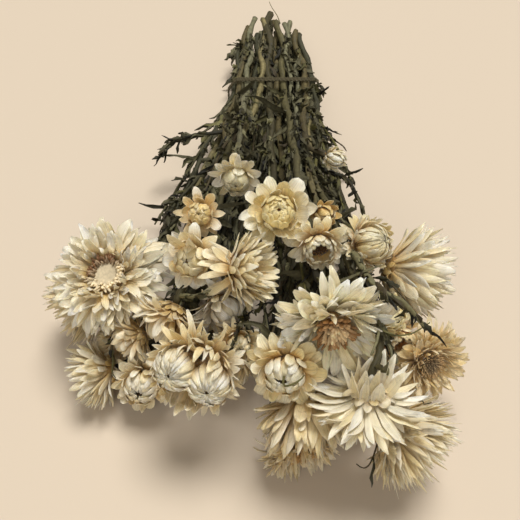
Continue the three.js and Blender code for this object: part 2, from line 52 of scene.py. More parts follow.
# Place of the bract plane's centre, the way it faces (azimuth, elevation), radius, form, look
HEADS = [
    (-79, -29, 60, -105, 68, 30, "open", "white"),
    (-94, -23, 34, -150, -10, 21.5, "bell", "beige"),
    (-83, -61, 19, -158, -8, 18, "bell", "snowy"),
    (-61, -69, 23, -95, 25, 18, "half", "wrapped"),
    (-30, -79, 55, -100, 30, 24.5, "full", "pearl"),
    (-11, -67, 56, -80, 35, 12, "half", "golden"),
    (-45, -51, 57, -120, -35, 19.5, "half", "cream"),
    (-33, -29, 75, -110, 40, 17, "half", "pointed"),
    (-11, -41, 80, -15, 22, 17.5, "bell", "sandy"),
    (-19, -44, 58, -60, 0, 18.5, "half", "ashen"),
    (-31, -1, 78, -95, 45, 14, "half", "pinkish"),
    (-13, 25, 82, -90, 5, 14.5, "half", "egg"),
    (9, -11, 88, -88, 56, 20.5, "half", "yellow"),
    (29, -25, 82, -85, 15, 15.5, "half", "hollow"),
    (53, -19, 74, -30, 40, 16.5, "full", "silky"),
    (72, -24, 60, -10, -10, 25, "bell", "tawny"),
    (33, -74, 84, -85, 5, 26.5, "open", "crowned"),
    (12, -88, 67, -100, 28, 18.5, "half", "rounded"),
    (63, -58, 66, -60, 30, 12, "half", "closed"),
    (85, -68, 40, -70, 25, 21.5, "open", "tan"),
    (48, -103, 63, -100, -74, 25, "open", "daisy"),
    (65, -104, 37, -38, -12, 24, "bell", "shaggy"),
    (22, -93, 43, -88, -30, 23, "bell", "broad"),
    (20, -104, 17, -75, -10, 22.5, "open", "beige"),
    (43, 66, 58, -50, 15, 9, "bud", "ivory"),
    (33, 2, 75, -70, 35, 10, "bud", "golden_bud"),
    (-80, -40, 17, -160, -10, 15, "half", "cream"),
    (70, -30, 30, -15, -8, 21, "half", "cream"),
    (-16, -56, 24, -95, -15, 21, "half", "cream"),
    (50, -80, 18, -70, -15, 19, "half", "beige"),
    (68, -59, 50, -70, 10, 14, "half", "rusty"),
    (-64, -53, 42, -165, -25, 16.5, "half", "cream"),
]

# Stems: a straight neck behind the head, then a curve through STEM_STEPS free points to the tie
STEM_RADIUS = 2.9
NECK_RADIUS = 1.6
NECK_LENGTH = 10
STEM_STEPS = 7
STEEPEST_ARCH = 0.2              # a hanging head's stem rises no steeper than this
CURVE_SWEEP = 0.2                # how far the curve first follows its head's axis, as part of its span
CURVE_BOW = 0.35                 # and how much of its end heads straight from the neck to the tie

# The tie, where the stems run straight for TIE_GRIP each way, in rows above each other
TIE_X = 10
TIE_Y = 188
TIE_GRIP = 6
ROW_SIZES = (8, 8, 8, 8)
ROW_RISE = 6.4
TWIN_STEP = 6.2                  # between the two stems of a shoot, and between neighbouring shoots
SHOOT_STEP = 10.4
TWIN_LEAN = 0.6                  # each of the two leans towards the other behind the tie
JOIN_REACH = 14                  # how far behind the tie they meet
ROW_STAGGER = 2.2

# Cut ends: the longest reach behind the tie, how much shorter the outermost ones are, how far from the
# middle those are, the scatter, and the share of their spread at the tie that the ends keep
LONGEST_END = 104
END_DROP = 26
END_DROP_AT = 30
END_SCATTER = 20
END_SPREAD = 0.78

# Stems that push each other and the heads apart, at last without springing back
RELAX_ROUNDS = 180
SETTLE_ROUNDS = 60
SPRING = 0.12
LONGEST_MOVE = 3
PUSHED = STEM_STEPS + 3          # stretches of a stem that take part, from its foot to the tie
STEM_GAP = 0.5
HEAD_KEEP_OUT = 0.62             # share of a head's radius that other stems keep out of

# Leaves of the solids: places along a stem, tries at each place, and how many a stem gets
LEAF_SITES = (0.12, 0.28, 0.44, 0.58, 0.7)
LEAF_TRIES = 14
LEAVES_PER_STEM = 2
LEAF_LENGTH = 25
LEAF_WIDTH = 6.5
LEAF_SPAN = 95                   # no leaf reaches further out to the sides
LEAF_KEEP_OUT = 0.75             # share of a head's radius that leaves keep out of
# Leaves at the bunch's edges, by their tips
EDGE_LEAF_TIPS = [
    (-64, 100, 30), (-57, 74, 34), (-47, 138, 20), (49, 170, 24), (62, 50, 30), (-68, 36, 36),
]
EDGE_LEAF_WIDTH = 5.5
EDGE_LEAF_BACK = 14
EDGE_LEAF_SAG = 4

TWINE_THICKNESS = 1.5
TWINE_WIDTH = 3.2
TWINE_SLACK = 0.35

TIE_MIDDLE = TIE_X + LAYOUT_SHIFT[0]   # the tie's place in the frame
TIE_LINE = TIE_Y + LAYOUT_SHIFT[1]

# ---------- looks ----------

# Bracts of each form, outermost first: share of the bracts passed, then distance from the axis and
# height of the tip, of the foot and of the bend between them, and width, as parts of the radius
WHORLS = {
    "open": [
        (0.00, 1.04, -0.22, 0.15, -0.22, 0.60, 0.04, 0.80),
        (0.18, 1.06, -0.02, 0.20, -0.14, 0.62, 0.12, 1.00),
        (0.42, 0.98, 0.20, 0.25, -0.05, 0.60, 0.14, 1.00),
        (0.62, 0.80, 0.36, 0.28, 0.02, 0.54, 0.16, 0.90),
        (0.80, 0.58, 0.46, 0.30, 0.06, 0.47, 0.20, 0.65),
        (1.00, 0.36, 0.40, 0.31, 0.10, 0.38, 0.26, 0.30),
    ],
    "bell": [
        (0.00, 1.02, 0.14, 0.15, -0.22, 0.60, 0.00, 0.85),
        (0.18, 1.06, 0.40, 0.20, -0.14, 0.62, 0.08, 1.00),
        (0.40, 1.00, 0.70, 0.25, -0.05, 0.60, 0.20, 1.00),
        (0.62, 0.82, 0.92, 0.28, 0.02, 0.54, 0.34, 1.00),
        (0.84, 0.60, 1.00, 0.31, 0.08, 0.44, 0.48, 0.80),
        (1.00, 0.44, 0.90, 0.33, 0.16, 0.38, 0.54, 0.55),
    ],
    "half": [
        (0.00, 1.04, -0.16, 0.16, -0.22, 0.60, 0.06, 0.85),
        (0.18, 1.02, 0.06, 0.22, -0.14, 0.62, 0.12, 1.00),
        (0.36, 0.90, 0.30, 0.27, -0.05, 0.62, 0.14, 1.00),
        (0.50, 0.64, 0.58, 0.31, 0.02, 0.66, 0.24, 1.00),
        (0.60, 0.30, 0.74, 0.33, 0.05, 0.66, 0.44, 1.00),
        (0.80, 0.10, 0.74, 0.33, 0.08, 0.60, 0.58, 0.95),
        (1.00, 0.02, 0.70, 0.30, 0.12, 0.50, 0.62, 0.75),
    ],
    "full": [
        (0.00, 1.04, -0.12, 0.16, -0.22, 0.62, 0.06, 0.85),
        (0.16, 1.00, 0.14, 0.24, -0.12, 0.66, 0.12, 1.00),
        (0.32, 0.92, 0.42, 0.30, -0.05, 0.72, 0.18, 1.00),
        (0.46, 0.70, 0.74, 0.34, 0.00, 0.78, 0.30, 1.00),
        (0.56, 0.34, 0.90, 0.36, 0.04, 0.78, 0.52, 1.00),
        (0.78, 0.12, 0.90, 0.36, 0.06, 0.72, 0.70, 0.95),
        (1.00, 0.02, 0.86, 0.33, 0.10, 0.60, 0.76, 0.75),
    ],
    "bud": [
        (0.00, 0.85, 0.10, 0.15, -0.24, 0.60, 0.00, 0.90),
        (0.25, 0.90, 0.60, 0.22, -0.18, 0.80, 0.10, 1.00),
        (0.50, 0.60, 1.10, 0.26, -0.10, 0.80, 0.50, 1.00),
        (0.70, 0.20, 1.24, 0.26, -0.05, 0.74, 0.70, 1.00),
        (1.00, 0.02, 1.22, 0.20, 0.00, 0.60, 0.90, 0.80),
    ],
}

# The body inside a head: distance from the axis and height from its foot up, as parts of the radius
HEART_FOOT = [(0.06, -0.33), (0.15, -0.28)]
HEARTS = {
    "open": [(0.27, -0.16), (0.31, 0.0), (0.30, 0.13), (0.24, 0.15), (0.02, 0.14)],
    "bell": [(0.28, -0.16), (0.34, 0.05), (0.34, 0.32), (0.28, 0.34), (0.02, 0.33)],
    "half": [(0.28, -0.14), (0.36, 0.08), (0.38, 0.34), (0.26, 0.54), (0.02, 0.60)],
    "full": [(0.30, -0.14), (0.42, 0.10), (0.46, 0.44), (0.32, 0.68), (0.02, 0.75)],
    "bud": [(0.28, -0.10), (0.42, 0.20), (0.44, 0.60), (0.28, 0.90), (0.02, 1.0)],
}
CUP_FLOORS = {"open": 0.13, "bell": 0.34}   # height at which the florets stand
RECEPTACLE_TINT = (150, 118, 70)
SCALE_FOOT_TINT = (140, 108, 60)
SCALES_PER_HEAD = 15
SCALE_WIDTH = 0.09


def bracts(count, width, tip, foot, ball_width=None, ball=None, heart=RECEPTACLE_TINT, point=0.4,
           roll=0.4, ribs=1.0, mess=0.5, droop=0.4, opening=0.0, crowd=1.0, lobe_angle=None,
           scales=(206, 180, 126), ball_size=1.0):
    """How a head looks: bracts at a radius of 20, their half width, their colours at the tips and feet, then
    the width and colour of those that close to a ball, the heart's colour, how pointed and rolled the bracts
    are, how ribbed the ball is, the disorder, how far the outer ones droop, how far the top stays open, how
    many are inner ones, the angle along which the ball parts in two, the colour of the underside, and the
    size of the ball against that of its kind."""
    return SimpleNamespace(count=count, width=width, tip=tip, foot=foot, ball_width=ball_width or width,
                           ball=ball or tip, heart=heart, point=point, roll=roll, ribs=ribs, mess=mess,
                           droop=droop, opening=opening, crowd=crowd, lobe_angle=lobe_angle, scales=scales,
                           ball_size=ball_size)


LOOKS = {
    "white": bracts(170, 0.096, (252, 248, 236), (226, 200, 146), point=0.45, roll=0.6, mess=0.9, droop=0.7),
    "cream": bracts(104, 0.112, (247, 237, 212), (222, 190, 134), point=0.5, mess=0.8),
    "beige": bracts(140, 0.085, (244, 232, 206), (210, 180, 128), point=0.5, mess=1.1, droop=0.6),
    "wrapped": bracts(90, 0.140, (249, 241, 218), (226, 196, 138), 0.105, (253, 246, 228), (66, 44, 24),
                      point=0.35, roll=0.45, opening=0.12, mess=0.6),
    "pearl": bracts(290, 0.078, (248, 238, 212), (222, 190, 130), 0.088, (254, 250, 238), (170, 138, 90),
                    point=0.4, roll=0.65, ribs=1.6, mess=0.8, opening=0.04, crowd=0.62, lobe_angle=163),
    "golden": bracts(80, 0.150, (246, 233, 198), (222, 182, 114), mess=0.8, droop=0.6),
    "pointed": bracts(38, 0.260, (250, 244, 226), (230, 202, 142), 0.24, (247, 235, 200), point=0.6, ribs=0.3,
                      mess=0.4, droop=0.1),
    "sandy": bracts(110, 0.150, (251, 242, 216), (222, 188, 128), point=0.35, roll=0.45, mess=0.6, droop=0.0),
    "ashen": bracts(90, 0.125, (246, 242, 232), (206, 186, 148), mess=0.9),
    "pinkish": bracts(56, 0.200, (250, 236, 210), (236, 208, 158), 0.15, (245, 224, 174), point=0.5,
                      roll=0.25, ribs=0.6, droop=-0.3, crowd=0.6, ball_size=0.86),
    "egg": bracts(40, 0.190, (253, 250, 242), (242, 230, 190), 0.26, (248, 240, 206), point=0.3, roll=0.35,
                  ribs=0.1, droop=-0.3, crowd=0.75),
    "yellow": bracts(76, 0.190, (250, 245, 226), (240, 222, 168), 0.16, (246, 230, 178), (150, 92, 36),
                     point=0.25, roll=0.35, ribs=0.5, droop=0.0, crowd=0.52, opening=0.03, ball_size=0.76),
    "hollow": bracts(64, 0.160, (249, 242, 220), (222, 186, 122), heart=(66, 40, 20), point=0.2,
                     opening=0.75),
    "silky": bracts(140, 0.120, (249, 240, 214), (226, 192, 128), 0.070, (248, 238, 206), point=0.4,
                    ribs=0.9),
    "tawny": bracts(160, 0.105, (254, 249, 234), (232, 202, 146), point=0.45, roll=0.55, mess=0.8, droop=0.3),
    "crowned": bracts(120, 0.125, (255, 252, 240), (250, 236, 196), point=0.3, roll=0.45, mess=0.9,
                      droop=-0.1, opening=0.45),
    "rounded": bracts(70, 0.210, (247, 237, 204), (226, 190, 122), 0.130, (246, 243, 228), (110, 90, 60),
                      point=0.1, roll=0.45, ribs=0.9, mess=0.7, opening=0.08),
    "closed": bracts(38, 0.200, (246, 234, 190), (230, 200, 132), point=0.3, ribs=0.2, mess=0.4),
    "tan": bracts(190, 0.085, (246, 228, 190), (226, 194, 142), point=0.5, mess=0.7),
    "daisy": bracts(120, 0.088, (246, 242, 228), (224, 212, 182), point=0.7, roll=0.5, droop=0.2, mess=0.7,
                    scales=(228, 218, 194)),
    "shaggy": bracts(230, 0.066, (248, 239, 216), (220, 194, 144), point=0.6, roll=0.55, mess=1.0, droop=0.3),
    "broad": bracts(125, 0.112, (238, 226, 198), (208, 172, 108), point=0.35, roll=0.45, mess=0.9, droop=0.3),
    "snowy": bracts(115, 0.115, (251, 246, 230), (216, 190, 142), point=0.4, roll=0.45, mess=0.8, droop=0.2),
    "ivory": bracts(44, 0.180, (251, 247, 232), (234, 220, 176), point=0.5, roll=0.4, droop=0.2),
    "golden_bud": bracts(36, 0.200, (240, 218, 168), (222, 184, 116), point=0.8, roll=0.4, droop=0.2),
    "rusty": bracts(64, 0.140, (247, 235, 204), (206, 140, 66), heart=(160, 90, 34), opening=0.9),
}
COUNTED_AT = 20                  # radius of a head whose look gives its number of bracts
BRACT_THICKNESS = 0.3
BRACT_STATIONS = 8
LATHE_SIDES = 14
PRESS_DEPTH = 6.0                # bracts of neighbouring heads may cross by this much at their tips
PRESS_ROUNDS = 3
NEIGHBOUR_REACH = 1.2            # heads closer than this many times their radii press each other
LOWEST_CENTRELINE = 0.6          # bracts that lie on the floor, at their middle and at their skin
LOWEST_BRACT = 0.15
AGEING = np.array([1.0, 0.93, 0.76])   # the tint of age

# Single bracts that stand out of a head: angle round it, tip distance and height, half width
LONE_BRACTS = {
    1: [(216, 1.16, 0.20, 0.085), (230, 1.20, 0.24, 0.095), (268, 1.02, 0.34, 0.075),
        (78, 1.02, 0.10, 0.075), (92, 1.06, 0.06, 0.08), (106, 1.02, 0.08, 0.085), (120, 0.98, 0.08, 0.07)],
    5: [(268, 0.95, 0.75, 0.13)],
    8: [(300, 0.90, 1.25, 0.17), (262, 0.80, 1.20, 0.15)],
    9: [(235, 0.72, -1.00, 0.14), (262, 0.80, -0.90, 0.15), (290, 0.74, -0.98, 0.14),
        (318, 0.82, -0.80, 0.13), (30, 0.80, -0.85, 0.14), (205, 0.82, -0.80, 0.13), (0, 0.78, -0.90, 0.14),
        (248, 0.98, -0.45, 0.14), (275, 1.00, -0.50, 0.14), (305, 0.96, -0.40, 0.14),
        (345, 1.02, -0.40, 0.14), (15, 0.98, -0.45, 0.14)],
    12: [(235, 1.10, 0.40, 0.17), (262, 1.15, 0.45, 0.18), (290, 1.12, 0.42, 0.17), (318, 1.05, 0.3, 0.16)],
    17: [(40, 0.98, 0.36, 0.12), (60, 0.94, 0.44, 0.13), (79, 0.98, 0.46, 0.12), (97, 0.92, 0.48, 0.13),
         (116, 0.97, 0.42, 0.12), (136, 0.95, 0.36, 0.13), (70, 0.80, 0.52, 0.10), (107, 0.80, 0.54, 0.11),
         (258, 1.05, 0.52, 0.11), (286, 1.10, 0.60, 0.14), (310, 1.15, 0.30, 0.10)],
    21: [(48, 0.42, -0.82, 0.13), (76, 0.30, -0.95, 0.15), (96, 0.26, -0.88, 0.15),
         (118, 0.36, -0.98, 0.14), (142, 0.46, -0.80, 0.13), (20, 0.55, -0.66, 0.12),
         (170, 0.58, -0.62, 0.12), (236, 0.36, -0.84, 0.13), (256, 0.26, -0.96, 0.14),
         (276, 0.24, -0.90, 0.15), (296, 0.30, -1.00, 0.14), (318, 0.42, -0.80, 0.13)],
}
LOBE_SIZE = 0.76                 # each half of a parted ball, as part of the head
LOBE_APART = 0.31
LOBE_RISE = 0.16
LOBE_LEAN = 0.12


def florets(middle, rim, swell=0.4, count=110, size=1.0, bare=0.0, rim_arc=None, reach=1.0):
    """Florets: colours at the middle and rim of the disc, how far it swells, their number and thickness,
    the share of the disc that they leave bare, the angle round which the rim's colour is kept and how far
    from it, and their reach."""
    return SimpleNamespace(middle=middle, rim=rim, swell=swell, count=count, size=size, bare=bare,
                           rim_arc=rim_arc, reach=reach)


DISCS = {
    1: florets((224, 208, 174), (112, 76, 44), 0.0, 110, 1.25, 0.68, (315, 80)),
    9: florets((208, 178, 130), (196, 162, 110), 0.3),
    17: florets((230, 206, 164), (164, 122, 76), 0.6, 100, 1.6, reach=1.5),
    20: florets((150, 130, 100), (206, 176, 130), 0.4, 110, 0.8),
}
FLORET_SIDES = 5
COMMON_DISC = florets((182, 142, 90), (200, 164, 108))
HOLLOW_HEART = florets((96, 60, 28), (176, 128, 70), 0.2, 60)

STEM_STATION = 3.5               # from one ring of a stem's points to the next
STEM_SIDES = 12
STEM_GRAIN = 30                  # length over which the grain changes
TWIGS_PER_STEM = 3
TWIG_RADIUS = 1.15
TWIG_STATION = 3.0
TWIG_POINTS = 16
TWIG_SIDES = 6
SHORTEST_TWIG = 8                # stations
LEAVES_ON_STEM = 58
LEAVES_ON_TWIG = 13
LEAVES_BY_TIE = 22
BY_TIE_FROM = -30                # measured from the tie
LEAF_STEP = 2.0                  # between the places where leaves may sit
LEAFLESS_NECK = 0.35             # share of a hanging head's stem that stays bare
LEAF_STATIONS = 7
LEAF_THICKNESS = 0.5
LEAF_PLEAT = 0.2
LEAF_SAG = np.array([0, 0, -0.12])
LOWEST_TIP = 1.0
FREE_OF_TIE = 4                  # leaves keep this far from the twine
DRIED_WIDTH = 0.72               # the solids' leaves have shrunk to this share of their width
LEAF_PALER_FROM = 4.4            # broader leaves than this have dried paler
BROAD_LEAF = 0.86 * LEAF_PALER_FROM
LOWEST_LEAF = 0.2                # stems and leaves end this high above the floor
# Twigs and dry strands that stand out of the bunch: points along each, thickness and number of leaves
STRAY_TWIGS = [
    ([(46, -11, 62), (47, -36, 84), (49, -60, 98), (55, -70, 100), (65, -70, 92), (76, -73, 78)], 2.2, 34),
    ([(53, -57, 80), (48, -69, 86), (51, -78, 84), (60, -79, 80), (69, -78, 80), (79, -70, 77)], 0.6, 3),
    ([(49, -44, 82), (54, -52, 88), (62, -55, 86), (70, -64, 82), (76, -71, 78)], 0.6, 4),
    ([(-38, 119, 34), (-47, 112, 36), (-56, 109, 35), (-62, 105, 33), (-64, 102, 31)], 1.5, 46),
    ([(51, 85, 34), (54, 69, 38), (59, 57, 38), (64, 48, 32)], 1.9, 16),
    ([(38, 184, 26), (44, 180, 28), (49, 172, 26)], 1.1, 3),
    ([(44, 137, 30), (50, 108, 34), (55, 90, 34), (58, 77, 32)], 1.1, 24),
    ([(41, 131, 26), (45, 97, 28), (50, 66, 30), (53, 42, 32)], 1.1, 26),
    ([(-46, 33, 50), (-51, 23, 46), (-55, 14, 42)], 1.2, 14),
    ([(-46, 65, 40), (-51, 56, 38), (-55, 46, 36)], 1.2, 12),
    ([(-12, 250, 14), (-16, 246, 18), (-20, 238, 18)], 1.6, 26),
    ([(2, 8, 54), (1, -20, 50), (4, -52, 44)], 1.4, 40),
    ([(12, -4, 50), (14, -30, 46), (8, -60, 40)], 1.4, 40),
    ([(-8, -14, 46), (-10, -38, 42), (-2, -66, 34)], 1.4, 36),
    ([(26, 10, 44), (26, -12, 48), (22, -38, 44)], 1.4, 30),
    ([(-1, 15, 60), (-2, -3, 66), (1, -8, 62)], 1.3, 12),
    ([(37, -19, 60), (30, -28, 64), (23, -30, 62)], 1.3, 12),
    ([(-12, -52, 60), (-10, -64, 66), (-12, -71, 64)], 1.2, 10),
    ([(-6, -41, 54), (-8, -55, 60), (-6, -65, 62)], 1.2, 10),
    ([(-36, -52, 70), (-31, -52, 74), (-23, -48, 74)], 1.4, 6),
    ([(-70, -46, 36), (-75, -54, 40), (-77, -60, 38)], 1.3, 6),
    ([(18, 284, 14), (15, 296, 16), (10, 304, 20), (8, 309, 22)], 0.45, 0),
    ([(70, -97, 56), (72, -101, 60), (75, -102, 58), (79, -100, 56)], 0.5, 0),
    ([(53, -119, 46), (51, -122, 44), (48, -123, 36), (45, -120, 34)], 0.6, 1),
    ([(10, -96, 70), (10, -104, 80), (13, -107, 84), (17, -105, 85), (19, -101, 82)], 0.7, 0),
]
STEM_TINTS = [
    (94, 88, 56), (60, 59, 37), (126, 116, 80), (44, 42, 26), (92, 82, 50), (122, 120, 94), (68, 62, 36),
]
STEM_FADE = np.array([0.9, 0.89, 0.83])
NECK_TINT = (84, 74, 48)         # a brown that stems take on near their heads
LEAF_TINTS = [
    (56, 54, 33), (76, 72, 44), (36, 34, 20), (108, 104, 74), (66, 56, 33), (90, 86, 44), (26, 24, 14),
]
BROAD_LEAF_TINT = (78, 74, 50)   # broad leaves are at least as pale as this
TWINE_TURNS = 3
TURN_POINTS = 120
TURN_WIDTH = 1.35
TURN_SPACING = 1.1               # widths from one turn to the next
PLY_RADIUS = 0.38
PLY_OFFSET = 0.36                # from the twine's middle to each ply's
PLY_TWIST = 1.1                  # angle from one station to the next
PLY_SIDES = 5
TWINE_STATION = 0.9
TWINE_OVERLAP = 8                # points that the last turn runs on past the first
FIBRE_GRAIN = 8                  # stations over which the fibres change
LOWEST_TWINE = 0.02
TWINE_TINT = (92, 84, 60)

GRAIN_LENGTH = 1.2               # how fast the veins change along a piece, and from one to the next
GRAIN_SCATTER = 40
RELIEF_DEPTH = 0.0004            # metres
ROUGHNESS_SPREAD = 0.08

CAMERA_PLACE = (0.0058, -0.3369, 0.3454)
CAMERA_TILT = 40                 # degrees up from looking straight down
CAMERA_LENS = 48.46
CAMERA_SENSOR = 36
FLOOR_REACH = 40
FLOOR_TINT = (210, 195, 175)
SKY_LIGHT = (1.0, 0.93, 0.80)
SKY_STRENGTH = 0.19
SUN_LIGHT = (1.0, 0.98, 0.95)

MM_PER_METRE = 1000
GOLDEN_SHARE = 0.618
GOLDEN_ANGLE = math.pi * (3 - math.sqrt(5))
UP = np.array([0.0, 0.0, 1.0])
ALONG = np.array([0.0, 1.0, 0.0])      # the way that the stems run
STEM_SEED, DISC_SEED, BRACT_SEED, SHOOT_SEED = 40, 300, 700, 900
END_SEED, LEAF_SEED = 99, 1000         # as in the solids

# ---------- small helpers ----------


def dot(a, b):
    return (a * b).sum(-1)


def unit(vectors):
    return vectors / np.maximum(np.linalg.norm(vectors, axis=-1, keepdims=True), 1e-9)


def square_to(axes, vectors):
    """The part of vectors that is square to unit axes, as unit vectors."""
    return unit(vectors - dot(vectors, axes)[..., None] * axes)


def facing(azimuth, elevation):
    """Direction with an azimuth and an elevation in degrees."""
    azimuth, elevation = math.radians(azimuth), math.radians(elevation)
    level = math.cos(elevation)
    return np.array([math.cos(azimuth) * level, math.sin(azimuth) * level, math.sin(elevation)])


def turned(vectors, axes, angles):
    """Vectors turned round unit axes."""
    cos, sin = np.cos(angles)[..., None], np.sin(angles)[..., None]
    return vectors * cos + np.cross(axes, vectors) * sin + axes * dot(axes, vectors)[..., None] * (1 - cos)


def outward(ahead, angle):
    """Direction square to a stem that runs ahead, at an angle round it."""
    return turned(unit(np.cross(ahead, UP)), ahead, np.array(angle))


def draws_from(seed):
    """The same repeatable draws between 0 and 1 as those of the solids."""
    state = [1 + seed * 48271]

    def draw():
        state[0] = state[0] * 16807 % 2147483647
        return state[0] / 2147483647

    draw()
    draw()
    return draw


def ring_angles(count):
    return np.arange(count) * 2 * math.pi / count


def keep_above(points, height):
    points[..., 2] = np.maximum(points[..., 2], height)


def linear(colour):
    """Linear light of a colour given in 0 to 255."""
    share = np.asarray(colour, float) / 255
    return np.where(share > 0.04045, ((share + 0.055) / 1.055) ** 2.4, share / 12.92)


def mixed(one, other, share):
    return one * (1 - share) + other * share


def smooth(t):
    """A soft step from 0 to 1."""
    t = np.clip(t, 0, 1)
    return t * t * (3 - 2 * t)


# ---------- where the heads, stems and leaves are ----------


def lay_out_head(number, row):
    """A head with its place, its own axes and the middle of its core."""
    x, y, z, azimuth, elevation, radius, form, name = row
    place = np.array([x, y, z], float) + LAYOUT_SHIFT
    axis = facing(azimuth, elevation)
    side = unit(np.cross(axis, UP))
    return SimpleNamespace(
        number=number, place=place, axis=axis, side=side, rise=np.cross(axis, side), radius=radius,
        form=form, look=name, core=place + CORE_HEIGHT * radius * axis,
    )


def slots_at_tie(heads):
    """Where each stem passes the tie, as (head, shoot, x, z, lean)."""
    by_height = sorted(heads, key=lambda head: head.place[2] + head.place[1] / 4)
    lowest = STEM_RADIUS + TWINE_SLACK + TWINE_THICKNESS
    slots = []
    taken = 0
    for row, size in enumerate(ROW_SIZES):
        members = sorted(by_height[taken:taken + size], key=lambda head: head.place[0])
        width = (size / 2) * TWIN_STEP + (size / 2 - 1) * SHOOT_STEP
        left = TIE_MIDDLE - width / 2 + (ROW_STAGGER if row % 2 else -ROW_STAGGER)
        for i, head in enumerate(members):
            x = left + math.ceil(i / 2) * TWIN_STEP + (i // 2) * SHOOT_STEP
            lean = -TWIN_LEAN if i % 2 else TWIN_LEAN
            slots.append((head, (taken + i) // 2, x, lowest + row * ROW_RISE, lean))
        taken += size
    return slots


def lay_out_stem(head, shoot, x, z, lean):
    """A stem from its head's foot through the tie to its cut end, before it is pushed clear of others."""
    base = head.place + (BASE_HEIGHT * head.radius - CLEARANCE) * head.axis
    neck = base - NECK_LENGTH * head.axis
    before = np.array([x, TIE_LINE - TIE_GRIP, z])
    after = np.array([x, TIE_LINE + TIE_GRIP, z])
    sweep = CURVE_SWEEP * np.linalg.norm(before - neck)
    onward = np.array([head.axis[0], head.axis[1], max(head.axis[2], -STEEPEST_ARCH)])
    bow = before + CURVE_BOW * (neck - before)
    t = (np.arange(1, STEM_STEPS + 1) / (STEM_STEPS + 1))[:, None]
    free = ((1 - t) ** 3 * neck + 3 * (1 - t) ** 2 * t * (neck - sweep * onward)
            + 3 * (1 - t) * t ** 2 * bow + t ** 3 * before)
    off_middle = min(1, abs(x - TIE_MIDDLE) / END_DROP_AT)
    reach = LONGEST_END - END_DROP * off_middle ** 2 - END_SCATTER * draws_from(END_SEED + head.number)()
    end = np.array([TIE_MIDDLE + (x - TIE_MIDDLE) * END_SPREAD, TIE_LINE + reach, z])
    join = after + JOIN_REACH / (end[1] - after[1]) * (end - after)
    join[0] += lean
    points = np.vstack([base, neck, free, before, after, join, end])
    return SimpleNamespace(head=head, shoot=shoot, points=points)


def nearest_shares(a0, a1, b0, b1):
    """Nearest places of two segments, as shares of their lengths."""
    a, b, gap = a1 - a0, b1 - b0, a0 - b0
    aa, bb, ab, ag, bg = dot(a, a), dot(b, b), dot(a, b), dot(a, gap), dot(b, gap)
    spread = aa * bb - ab * ab
    crossing = np.clip((ab * bg - ag * bb) / np.maximum(spread, 1e-9), 0, 1)
    t = np.clip((ab * np.where(spread > 1e-6, crossing, 0.5) + bg) / bb, 0, 1)
    return np.clip((ab * t - ag) / aa, 0, 1), t


def cores_of(heads):
    """Middles of the heads' cores, and the heads' radii."""
    return np.array([head.core for head in heads]), np.array([head.radius for head in heads])


def stretch_pairs(stems, radii):
    """Pairs of stretches on stems of different shoots, and the distances that they need."""
    shoots = np.array([stem.shoot for stem in stems])
    stem_of, place_of = (grid.ravel() for grid in np.mgrid[:len(stems), :PUSHED])
    one, two = np.triu_indices(len(stem_of), 1)
    apart_shoots = shoots[stem_of[one]] != shoots[stem_of[two]]
    one, two = one[apart_shoots], two[apart_shoots]
    needs = radii[place_of[one] + 1] + radii[place_of[two] + 1] + STEM_GAP
    return stem_of, place_of, one, two, needs


def push_stems_apart(points, pairs, moves):
    """Adds the moves that take each pair of stretches as far apart as it needs."""
    stem_of, place_of, one, two, needs = pairs
    starts, ends = points[:, :PUSHED].reshape(-1, 3), points[:, 1:PUSHED + 1].reshape(-1, 3)
    lengths = np.linalg.norm(ends - starts, axis=1)
    middles = (starts + ends) / 2
    span = np.linalg.norm(middles[one] - middles[two], axis=1)
    near = span <= needs + (lengths[one] + lengths[two]) / 2
    a, b = one[near], two[near]
    s, t = nearest_shares(starts[a], ends[a], starts[b], ends[b])
    s, t = s[:, None], t[:, None]
    apart = starts[a] + s * (ends[a] - starts[a]) - starts[b] - t * (ends[b] - starts[b])
    distance = np.linalg.norm(apart, axis=1)
    push = apart * (np.maximum(needs[near] - distance, 0) / distance)[:, None]
    for segment, share, sign in ((a, s, 0.5), (b, t, -0.5)):
        np.add.at(moves, (stem_of[segment], place_of[segment]), sign * (1 - share) * push)
        np.add.at(moves, (stem_of[segment], place_of[segment] + 1), sign * share * push)


def push_off_heads(points, cores, keep, moves):
    """Adds the moves that take stretches out of the heads that they pass."""
    starts, ends = points[:, :PUSHED, None], points[:, 1:PUSHED + 1, None]
    line = ends - starts
    share = np.clip(dot(cores - starts, line) / dot(line, line), 0, 1)[..., None]
    apart = starts + share * line - cores
    distance = np.linalg.norm(apart, axis=-1)
    push = apart * (np.maximum(keep - distance, 0) / distance)[..., None]
    moves[:, :PUSHED] += ((1 - share) * push).sum(2)
    moves[:, 1:PUSHED + 1] += (share * push).sum(2)


